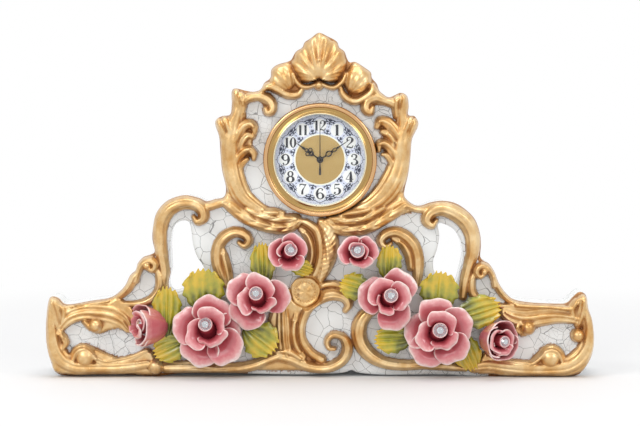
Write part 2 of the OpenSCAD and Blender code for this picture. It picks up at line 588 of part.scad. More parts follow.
bay_w = battery_l + 2 * (contact_t + battery_gap);
bay_h = battery_d + 2 * battery_gap;
bay_y = -movement_w / 2 + 2 + bay_h / 2;
battery_z = movement_back + battery_gap + battery_d / 2;
set_knob_at = [12, 8];
set_knob_stem_r = 2;
hour_pipe_l = 4.7;
minute_pipe_l = hour_pipe_l + 1;
second_pin_l = minute_pipe_l + 1;
minute_pipe_r = hour_pipe_r - pipe_wall - pipe_gap;
second_pin_r = minute_pipe_r - pipe_wall - pipe_gap - 0.15;
hour_z = dial_front + disc_t + 0.7;
minute_z = hour_z + hand_t + hand_gap;
second_z = minute_z + hand_t + hand_gap;

module movement_case() color(black) at_dial() difference() {
    union() {
        translate([0, 0, movement_back]) linear_extrude(movement_t)
            offset(r = movement_corner) square(movement_w - 2 * movement_corner, center = true);
        translate([0, 0, movement_front - 1]) cylinder(r = neck_r, h = dial_front - movement_front + 0.9);
    }
    translate([0, 0, movement_front - hour_pipe_l])
        cylinder(r = hour_pipe_r + pipe_gap, h = hour_pipe_l + 10);
    translate([0, 0, movement_front - minute_pipe_l])
        cylinder(r = minute_pipe_r + pipe_gap, h = minute_pipe_l);
    translate([0, 0, movement_front - second_pin_l])
        cylinder(r = second_pin_r + pipe_gap, h = second_pin_l);
    translate([-bay_w / 2, bay_y - bay_h / 2, movement_back - 1])
        cube([bay_w, bay_h, 1 + 2 * battery_gap + battery_d]);
    translate([set_knob_at[0], set_knob_at[1], movement_back - 1])
        cylinder(r = set_knob_stem_r + pipe_gap, h = 5 + seat_gap);
}

module battery() color("silver") at_dial() translate([-battery_l / 2, bay_y, battery_z]) rotate([0, 90, 0]) {
    cylinder(d = battery_d, h = battery_l - 1.2);
    cylinder(d = 5.5, h = battery_l);
}

module battery_contacts() color("silver") at_dial() for (s = [-1, 1])
    translate([s * (bay_w - contact_t) / 2 - contact_t / 2, bay_y - 5, movement_back + 3])
        cube([contact_t, 10, battery_d - 3]);

module setting_knob() color(black) at_dial() translate([set_knob_at[0], set_knob_at[1], 0]) difference() {
    union() {
        translate([0, 0, movement_back - seat_gap - set_knob_t]) cylinder(r = set_knob_r, h = set_knob_t);
        translate([0, 0, movement_back - seat_gap]) cylinder(r = set_knob_stem_r, h = 4);
    }
    for (k = [0 : 11]) rotate([0, 0, k * 30]) translate([set_knob_r, 0, movement_back - seat_gap - set_knob_t - 1])
        cylinder(r = 0.8, h = set_knob_t + 1, $fn = 16);
}

// ---------------------------------------------------------------- hands

// Flat outline of a hand mirrored about its length: [along, half width].
module blade(p) polygon(concat(p, [for (i = [len(p) - 1 : -1 : 0]) [p[i][0], -p[i][1]]]));

// A hand's blade with the holes of its filigree.
module filigree_hand(length, loops) difference() {
    union() {
        blade([[2, 0.9], [length * 0.3, 0.8], [length * 0.36, 2.2], [length * 0.46, 3.4], [length * 0.56, 2.6],
            [length * 0.62, 1.2], [length * 0.72, 2], [length * 0.8, 1], [length, 0.2]]);
        circle(r = 3.8);
    }
    for (s = loops) translate([length * s, 0]) circle(r = 0.95, $fn = 24);
    if (len(loops) > 1) for (s = [-1, 1]) translate([length * 0.46, s * 1.7]) circle(r = 0.8, $fn = 24);
}

module hour_hand() color(black) at_dial() difference() {
    union() {
        translate([0, 0, hour_z]) rotate([0, 0, 90 + 55]) linear_extrude(hand_t) filigree_hand(hour_len, [0.53, 0.72]);
        translate([0, 0, movement_front - hour_pipe_l + 0.3])
            cylinder(r = hour_pipe_r, h = hour_z - movement_front + hour_pipe_l);
    }
    translate([0, 0, movement_front - hour_pipe_l - 1])
        cylinder(r = hour_pipe_r - pipe_wall, h = 2 * hour_pipe_l + hour_z - movement_front);
}

module minute_hand() color(black) at_dial() difference() {
    union() {
        translate([0, 0, minute_z]) rotate([0, 0, 90 - 56]) linear_extrude(hand_t) filigree_hand(minute_len, [0.72]);
        translate([0, 0, movement_front - minute_pipe_l + 0.3])
            cylinder(r = minute_pipe_r, h = minute_z - movement_front + minute_pipe_l);
    }
    translate([0, 0, movement_front - minute_pipe_l - 1])
        cylinder(r = minute_pipe_r - pipe_wall, h = 2 * minute_pipe_l + minute_z - movement_front);
}

module second_hand() color(black) at_dial() {
    translate([0, 0, second_z]) rotate([0, 0, 90]) linear_extrude(hand_t) union() {
        blade([[0, 0.5], [second_len, 0.2]]);
        blade([[-tail_len, 0.9], [-tail_len * 0.4, 0.6], [0, 0.6]]);
        circle(r = 2);
    }
    translate([0, 0, movement_front - second_pin_l + 0.3])
        cylinder(r = second_pin_r, h = second_z - movement_front + second_pin_l);
}

// ---------------------------------------------------------------- nodes

case_body();
shell_crest();
crest_gilding_left();
crest_gilding_right();
arm_gilding_left();
arm_gilding_right();
base_gilding_left();
base_gilding_right();
centre_gilding();
medallion();
rose_large_left();
rose_mid_left();
rose_top_left();
rose_bud_left();
rose_large_right();
rose_mid_right();
rose_top_right();
rose_bud_right();
rhinestones();
leaf_a();
leaf_b();
leaf_c();
leaf_d();
leaf_e();
leaf_f();
leaf_g();
leaf_h();
leaf_i();
leaf_j();
leaf_k();
leaf_l();
bezel_ring();
lens();
dial_plate();
dial_centre_disc();
insert_housing();
retaining_band();
movement_case();
battery();
battery_contacts();
setting_knob();
hour_hand();
minute_hand();
second_hand();
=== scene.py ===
import math

import bpy
import numpy as np
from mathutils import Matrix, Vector
from mathutils.geometry import delaunay_2d_cdt


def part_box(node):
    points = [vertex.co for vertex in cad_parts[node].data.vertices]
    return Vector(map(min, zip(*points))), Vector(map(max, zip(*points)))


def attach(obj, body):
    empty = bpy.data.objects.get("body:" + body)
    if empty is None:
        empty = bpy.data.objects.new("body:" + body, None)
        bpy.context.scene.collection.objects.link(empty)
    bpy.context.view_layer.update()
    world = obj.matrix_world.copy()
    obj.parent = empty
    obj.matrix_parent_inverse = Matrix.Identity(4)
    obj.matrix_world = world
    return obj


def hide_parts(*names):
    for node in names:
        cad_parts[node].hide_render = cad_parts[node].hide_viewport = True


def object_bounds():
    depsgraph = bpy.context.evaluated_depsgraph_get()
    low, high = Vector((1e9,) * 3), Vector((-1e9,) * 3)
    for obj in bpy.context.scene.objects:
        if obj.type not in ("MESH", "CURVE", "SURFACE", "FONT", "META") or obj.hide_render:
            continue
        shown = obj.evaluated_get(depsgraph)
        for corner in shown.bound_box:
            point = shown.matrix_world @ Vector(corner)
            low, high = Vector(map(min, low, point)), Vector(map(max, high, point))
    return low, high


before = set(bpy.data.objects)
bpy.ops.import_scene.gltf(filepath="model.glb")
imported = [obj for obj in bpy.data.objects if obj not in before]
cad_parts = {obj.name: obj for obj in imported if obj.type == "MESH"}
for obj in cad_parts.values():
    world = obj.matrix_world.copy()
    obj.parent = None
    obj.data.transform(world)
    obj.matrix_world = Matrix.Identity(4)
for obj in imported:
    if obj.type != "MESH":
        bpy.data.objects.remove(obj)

cad_box = [list(corner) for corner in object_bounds()]


# ================================================================ camera
# A long lens two metres away and a little above the clock, square to its dial,
# so that the case keeps its upright lines. The view is as wide as 581 mm at the case's front.

look_at = Vector((0.0, -0.012, 0.1495))
camera_distance = 2.0
camera_height_angle = math.radians(3.5)
view_width = 0.5815

camera = bpy.data.objects.new("camera", bpy.data.cameras.new("camera"))
bpy.context.collection.objects.link(camera)
camera.data.sensor_width = 36.0
camera.data.lens = 36.0 * camera_distance / view_width
camera.data.clip_end = 50.0
away = Vector((0.0, -math.cos(camera_height_angle), math.sin(camera_height_angle)))
camera.location = look_at + away * camera_distance
camera.rotation_euler = (-away).to_track_quat("-Z", "Y").to_euler()
bpy.context.scene.camera = camera
bpy.context.scene.view_settings.view_transform = "Standard"


# ================================================================ table top and studio light
# A wide pale table top under three soft boxes and a weak front one, in a room of plain pale walls.
# The soft boxes are large, so the gilding shows broad soft streaks and the shadow stays faint.

def fill(tree, node, inputs):
    """Sets a node's inputs: each gets a value or a link from a socket, and a list gives several links."""
    for key, value in inputs.items():
        for one in value if isinstance(value, list) else [value]:
            if isinstance(one, bpy.types.NodeSocket):
                tree.links.new(one, node.inputs[key])
            else:
                node.inputs[key].default_value = one


def put(tree, kind, inputs=None, **settings):
    """A new node with its settings and inputs: a shader node, unless its kind is given in full."""
    node = tree.nodes.new(kind if "Node" in kind else "ShaderNode" + kind)
    for key, value in settings.items():
        setattr(node, key, value)
    fill(tree, node, inputs or {})
    return node


def calc(tree, operation, *values):
    """The result of one sum on numbers or sockets."""
    return put(tree, "Math", dict(enumerate(values)), operation=operation).outputs[0]


def ranged(tree, value, from_min=0.0, from_max=1.0, to_min=0.0, to_max=1.0, kind="LINEAR"):
    """A value carried from one range over to another, and held within it."""
    return put(tree, "MapRange", {"Value": value, "From Min": from_min, "From Max": from_max,
                                  "To Min": to_min, "To Max": to_max}, interpolation_type=kind).outputs[0]


def mixed(tree, share, first, second):
    """A colour between two colours or sockets."""
    return put(tree, "MixRGB", {"Fac": share, "Color1": first, "Color2": second}).outputs[0]


def seen_rays(tree):
    """1 for rays that meet the eye straight, through glass or off metal, and 0 for scattered ones."""
    rays = put(tree, "LightPath").outputs
    straight = calc(tree, "MAXIMUM", rays["Is Camera Ray"], rays["Is Transmission Ray"])
    return calc(tree, "MAXIMUM", straight, rays["Is Glossy Ray"])


def material(name):
    """A new node material, with its tree, its Principled shader and the places on its piece."""
    made = bpy.data.materials.new(name)
    made.use_nodes = True
    tree = made.node_tree
    return made, tree, tree.nodes["Principled BSDF"], put(tree, "TexCoord").outputs["Object"]


def mesh_piece(name, points, faces, shader, smooth=True):
    """An object of a mesh, in metres in the clock's own frame, with one material."""
    mesh = bpy.data.meshes.new(name)
    mesh.from_pydata(np.asarray(points, float).tolist(), [], faces)
    mesh.materials.append(shader)
    mesh.polygons.foreach_set("use_smooth", [smooth] * len(mesh.polygons))
    mesh.update()
    piece = bpy.data.objects.new(name, mesh)
    bpy.context.collection.objects.link(piece)
    return piece


room_brightness = 0.64
floor_colour = (0.80, 0.80, 0.805, 1.0)
lamps = [
    # name, place, width, depth, power
    ("left_box", (-1.5, -1.5, 1.7), 1.2, 1.0, 19.0),
    ("right_box", (1.7, -1.2, 1.3), 0.9, 0.9, 9.0),
    ("top_box", (0.1, 0.1, 2.1), 1.6, 1.2, 16.0),
    ("front_box", (-0.4, -2.2, 1.15), 1.3, 0.7, 5.0),
]

world = bpy.data.worlds.new("studio")
bpy.context.scene.world = world
world.use_nodes = True
sky = world.node_tree
fill(sky, sky.nodes["Background"], {
    "Color": (1.0, 1.0, 1.0, 1.0), "Strength": ranged(sky, seen_rays(sky), to_min=room_brightness)})

floor_paint, tree, shader, at = material("table_top")
seen = seen_rays(tree)
grain = put(tree, "TexNoise", {"Scale": 3.0, "Detail": 2.0}).outputs[0]
fill(tree, shader, {
    "Base Color": mixed(tree, grain, floor_colour, (0.82, 0.82, 0.825, 1.0)), "Roughness": 0.6,
    "Specular IOR Level": 0.1, "Emission Color": (1.0, 1.0, 1.0, 1.0),
    "Emission Strength": calc(tree, "MULTIPLY", seen, 0.02)})
# Away from the clock the table top fades into the white of the room.
from_clock = put(tree, "VectorMath", {0: at}, operation="LENGTH")
fading = ranged(tree, from_clock.outputs["Value"], 0.42, 0.95, kind="SMOOTHSTEP")
white_room = put(tree, "Emission", {"Color": (1.0, 1.0, 1.0, 1.0), "Strength": 1.0})
floor_mix = put(tree, "MixShader", {0: calc(tree, "MULTIPLY", fading, seen), 1: shader.outputs[0],
                                    2: white_room.outputs[0]})
fill(tree, tree.nodes["Material Output"], {"Surface": floor_mix.outputs[0]})
table_top = mesh_piece("table_top", [(-9, -6, 0), (9, -6, 0), (9, 12, 0), (-9, 12, 0)], [(0, 1, 2, 3)],
                       floor_paint, smooth=False)

for lamp_name, place, wide, deep, power in lamps:
    lamp = bpy.data.objects.new(lamp_name, bpy.data.lights.new(lamp_name, "AREA"))
    bpy.context.collection.objects.link(lamp)
    lamp.data.shape = "RECTANGLE"
    lamp.data.size, lamp.data.size_y, lamp.data.energy = wide, deep, power
    lamp.location = place
    lamp.rotation_euler = (Vector((0, 0, 0.14)) - Vector(place)).to_track_quat("-Z", "Y").to_euler()


# ================================================================ porcelain case
# Slip-cast porcelain with scrolls, leaves and a shell crest moulded on its face, one piece from
# front to back. It is glazed white with a crackle, then the raised work is painted with fired gold.
# The face is worked out as a height over a fine grid of places, in millimetres, and cut from that.

# Sizes: the slab behind the face, the heel and top of the foot behind it, the grid's spacing, how
# edges round over at the back and fall at the front, and the bore with its bezel seat and collar.
front_y = 1000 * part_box("case_body")[0][1]
back_y = 1000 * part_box("case_body")[1][1]
slab_depth = 34
slab_back = front_y + slab_depth
heel_h, foot_h = 26.0, 92.0
cell = 0.8
edge_round = 5.0
rim_fall, rim_round = 2.6, 4.0
dial_x, dial_z = 0.0, 198.0
bore_r = 47.0
bezel_seat_r, seat_round = 52.0, 2.5
collar_length = 7
collar_r, collar_back = 57.0, slab_back + collar_length
gx = np.arange(-252.0, 252.01, cell)
gz = np.arange(-1.6, 315.0, cell)
X, Z = np.meshgrid(gx, gz)


def curve(points, step=1.2, closed=False):
    """A smooth curve through rows of numbers, with a row about every step millimetres."""
    p = np.array(points, float)
    n = len(p)
    rows = []
    for i in range(n if closed else n - 1):
        if closed:
            a, b, c, d = p[i - 1], p[i], p[(i + 1) % n], p[(i + 2) % n]
        else:
            a, b, c, d = p[max(i - 1, 0)], p[i], p[i + 1], p[min(i + 2, n - 1)]
        count = max(1, int(np.ceil(np.hypot(*(c - b)[:2]) / step)))
        t = (np.arange(count) / count)[:, None]
        rows.append(0.5 * (2 * b + (c - a) * t + (2 * a - 5 * b + 4 * c - d) * t**2
                           + (3 * b - a - 3 * c + d) * t**3))
    return np.concatenate(rows if closed else rows + [p[-1:]])


def window(x0, x1, z0, z1):
    """The part of the grid that covers a rectangle."""
    i0, i1 = np.searchsorted(gx, [x0, x1])
    k0, k1 = np.searchsorted(gz, [z0, z1])
    return slice(k0, k1), slice(i0, i1)


def distance(line, reach=14.0):
    """Distance from every grid place to a closed line, capped at reach, with the nearest place on it."""
    best = np.full(X.shape, reach)
    near_x, near_z = np.full(X.shape, np.nan), np.full(X.shape, np.nan)
    for a, b in zip(line, np.roll(line, -1, axis=0)):
        part = window(min(a[0], b[0]) - reach, max(a[0], b[0]) + reach,
                      min(a[1], b[1]) - reach, max(a[1], b[1]) + reach)
        x, z = X[part], Z[part]
        d = b - a
        u = np.clip(((x - a[0]) * d[0] + (z - a[1]) * d[1]) / max(d @ d, 1e-9), 0, 1)
        px, pz = a[0] + u * d[0], a[1] + u * d[1]
        q = np.hypot(x - px, z - pz)
        closer = q < best[part]
        for field, value in ((best, q), (near_x, px), (near_z, pz)):
            field[part][closer] = value[closer]
    return best, near_x, near_z


def enclosed(line, x, z):
    """Whether places lie within closed lines, given as rows of edges (x0, z0, x1, z1)."""
    odd = np.zeros(x.shape, bool)
    for x0, z0, x1, z1 in line:
        rows = (z >= min(z0, z1)) & (z < max(z0, z1))
        if z0 != z1:
            odd[rows] ^= x[rows] > x0 + (z[rows] - z0) * (x1 - x0) / (z1 - z0)
    return odd


def edges_of(line):
    """The edges of a closed line as rows (x0, z0, x1, z1)."""
    return np.hstack([line, np.roll(line, -1, axis=0)])


def ring(x, z, radius, step=2.5):
    """A circle as a closed line."""
    turn = np.radians(np.arange(0, 360, step))
    return np.stack([x + radius * np.cos(turn), z + radius * np.sin(turn)], axis=1)


case_outline = [
    (-237.5, 1.5), (-246, 14), (-250, 34), (-249.5, 54.5), (-247.5, 69), (-244.5, 73), (-238.5, 71.5),
    (-233.5, 66.5), (-226, 66), (-209, 69), (-193, 71.5), (-184.5, 76), (-177.5, 83.5), (-173, 92.5),
    (-168, 97), (-166, 103.5), (-161, 109), (-154, 111.5), (-150.5, 114.5), (-152.5, 125), (-152, 136),
    (-149, 149), (-141, 159), (-131, 164), (-121, 165.5), (-110, 163), (-103, 160), (-95.5, 162),
    (-87.5, 164), (-85.5, 172.5), (-89, 188.5), (-90.5, 205), (-91.5, 218.5), (-95, 229.5), (-94, 234.5),
    (-88.5, 237.5), (-81.5, 239), (-80, 248.5), (-80, 259.5), (-76.5, 262.5), (-67.5, 260.5),
    (-60.5, 259.5), (-54, 261.5), (-50.5, 267.5), (-45, 272), (-44, 279.5), (-38.5, 284), (-30, 286.5),
    (-26, 288.5), (-22, 295.5), (-16, 299.5), (-14, 304), (-7.5, 308.5), (-1, 312.8), (7, 309.5),
    (15, 305), (17.5, 299.5), (22, 296), (24.5, 289.5), (27, 286), (32, 286.5), (39.5, 282), (46, 277),
    (47, 272), (51.5, 266.5), (53.5, 261), (57, 257.5), (63, 254.5), (73, 258.5), (79, 255.5),
    (80.5, 246.5), (80, 238.5), (85.5, 237.5), (89, 232.5), (88.5, 227), (83.5, 216), (82, 199.5),
    (80, 184), (77, 171.5), (77, 164), (84, 157.5), (91, 156), (100.5, 159), (111, 160.5),
    (122.5, 158.5), (132.5, 152.5), (141, 143.5), (145.5, 131), (146.5, 120), (146, 109.5),
    (149.5, 105.5), (154, 103), (159, 95.5), (163.5, 84.5), (170.5, 75), (178, 70), (192.5, 67.5),
    (213.5, 66.5), (224.5, 67), (231, 73), (236, 77), (241, 76), (243.5, 71), (244.5, 62.5), (248, 52.5),
    (249.9, 39), (249.7, 27), (246.5, 15.5), (240, 5), (231, 0.3), (200, 0), (160, 0), (137, 0.2),
    (110, 1.5), (60, 1.2), (36, 3), (29, 5.5), (22, 3.4), (8, 2.2), (-20, 1.5), (-60, 2.2), (-95, 3),
    (-125, 2.8), (-140, 1), (-148, 0), (-158, 0.2), (-175, 1.4), (-205, 1.4),
]
arm_openings = [
    [(-138, 84.5), (-135.5, 98), (-136, 111.5), (-136, 125), (-133.5, 136.5), (-127, 142),
     (-119.5, 141.5), (-117, 132.5), (-115.5, 120.5), (-111.5, 109), (-105.5, 98), (-112, 87),
     (-125, 79), (-134, 77)],
    [(107.5, 139.5), (115, 138.5), (123, 133), (128.5, 122.5), (130, 110.5), (128, 100), (124.5, 87),
     (119.5, 76), (111.5, 84.5), (104.5, 94.5), (103, 105.5), (106.5, 116), (108.5, 128)],
]
gilt_grounds = {
    # name: height, rounding, outline
    "crest_back_l": (4.5, 3.5, [(-76.5, 260.5), (-67.5, 259.5), (-53, 260), (-44, 257), (-39.5, 249.5),
        (-41.5, 241.5), (-46.5, 237.5), (-53, 241.5), (-53, 248.5), (-60.5, 250.5), (-66, 247),
        (-68.5, 234), (-62, 235), (-56.5, 230.5), (-56.5, 219.5), (-60.5, 214), (-58.5, 207),
        (-60.5, 198.5), (-67.5, 200.5), (-71, 192.5), (-70.5, 179.5), (-66, 168), (-55, 159.5), (-44, 155),
        (-32, 150.5), (-18.5, 149), (-16, 139.5), (-29.5, 132.5), (-47.5, 133.5), (-68.5, 141.5),
        (-84, 155), (-100.5, 156), (-89.5, 164), (-85.5, 170.5), (-89.5, 188.5), (-90.5, 205),
        (-91.5, 218.5), (-95, 229.5), (-94, 235), (-88.5, 237.5), (-81, 238.5), (-80.5, 252.5)]),
    "crest_back_r": (4.5, 3.5, [(75, 255), (79.5, 245), (80.5, 237), (87.5, 235), (88.5, 228), (84, 216),
        (82, 199.5), (79.5, 183.5), (76.5, 170.5), (76, 164), (83, 157), (95, 154.5), (81, 149),
        (68.5, 145), (57.5, 138), (43, 132.5), (27, 130.5), (12, 134.5), (4, 141.5), (14, 149),
        (28.5, 154.5), (41.5, 159), (52, 166), (58.5, 177), (61, 190.5), (60.5, 199.5), (56.5, 207),
        (51.5, 208.5), (51.5, 215), (56, 218), (51.5, 228), (51.5, 235), (59.5, 237), (66.5, 230.5),
        (69.5, 236), (65, 247), (56, 249.5), (48.5, 247.5), (46.5, 240.5), (40.5, 242.5), (36.5, 250.5),
        (41.5, 257), (52, 257.5), (63, 253)]),
    "roc_l": (6, 4, [(-45, 271.5), (-45, 279), (-39, 285), (-30, 287), (-24, 283), (-19.5, 275), (-15, 265),
        (-17.5, 257), (-26, 254), (-35, 255), (-44, 258.5), (-48.5, 264)]),
    "roc_r": (6, 4, [(24, 276), (27.5, 284), (34, 287), (41.5, 283), (46.5, 277.5), (48, 270.5),
        (46.5, 263), (39.5, 256), (30.5, 254), (23, 259.5), (20.5, 268.5)]),
    "under_l": (6, 4.5, [(-85.5, 169), (-76.5, 164), (-64, 155), (-49.5, 150.5), (-35, 149.5), (-20.5, 149),
        (-16, 142.5), (-20.5, 135), (-33, 131.5), (-49.5, 133), (-64, 138), (-76.5, 147), (-89.5, 155),
        (-103, 153.5), (-105, 159), (-95.5, 160.5)]),
    "under_r": (6, 4.5, [(76.5, 169), (68.5, 162.5), (54, 155), (37.5, 151.5), (22, 151.5), (8.5, 149),
        (4, 141.5), (9.5, 133.5), (23, 130), (37.5, 131), (52, 138), (65, 146), (76, 153.5), (90.5, 149.5),
        (95.5, 154.5), (84, 158)]),
    "neck": (5, 3.5, [(-18.5, 144.5), (-7.5, 141.5), (-2.5, 134.5), (5, 141.5), (12, 135), (17.5, 122.5),
        (16, 109), (10.5, 98), (4, 88), (-4, 82.5), (-13, 88), (-18.5, 96), (-16, 105.5), (-9.5, 116),
        (-10.5, 127), (-19.5, 134.5)]),
    "trunk": (5, 3.5, [(-40.5, 63.5), (-27, 63.5), (-21.5, 52.5), (-18.5, 39), (-15, 25.5), (-18.5, 14.5),
        (-32, 13.5), (-40.5, 20), (-38.5, 34.5), (-39.5, 49)]),
    "end_top_l": (7, 4, [(-244, 72), (-236, 71), (-226, 66), (-209, 69), (-193, 71), (-185, 75), (-177, 70),
        (-168, 62), (-165, 52), (-168, 42), (-174, 39.5), (-183, 43), (-191, 42), (-196, 40), (-203, 38.5),
        (-210, 43.5), (-212, 50), (-227, 51), (-232, 46), (-238, 50), (-244, 55)]),
    "end_low_l": (7, 4, [(-249, 54), (-240, 52), (-236, 48), (-232.5, 44), (-233.5, 36), (-232.5, 28),
        (-227, 20.5), (-222, 22), (-218, 29), (-211, 31), (-204, 27.5), (-194, 23), (-180, 18.5),
        (-166, 22), (-158, 26), (-150, 22), (-148, 3), (-175, 1.5), (-236, 2), (-246, 14)]),
    "end_top_r": (7, 4, [(241, 75), (235, 75), (225, 66), (209, 66), (192, 67), (182, 68), (171, 68),
        (163, 64), (162, 56), (170, 50), (176, 45), (180, 38), (186, 36), (192, 40), (200, 46), (212, 50),
        (222, 52.5), (232, 50), (245, 54)]),
    "end_low_r": (7, 4, [(249, 54), (243, 48), (241, 38), (238, 30), (235, 26), (231, 18), (219, 14),
        (216, 26), (209, 31), (202, 28), (195, 21), (186, 13.5), (172, 16), (160, 20), (150, 24), (145, 18),
        (138, 4), (170, 1.5), (232, 2), (246, 16)]),
    "trunk_foot": (5.5, 4, [(-46, 60), (-41, 74), (-33, 80), (-20, 82), (-10, 74), (-13, 61), (-13, 50),
        (-16, 40), (-13, 28), (-6, 18), (-8, 6), (-60, 6), (-56, 16), (-50, 26), (-46, 36), (-48, 50)]),
    "lobe_ur": (6, 4.5, [(37.5, 252.5), (46.5, 258.5), (54, 259.5), (58.5, 253), (66, 251.5), (61, 247),
        (50.5, 247), (41.5, 245)]),
}
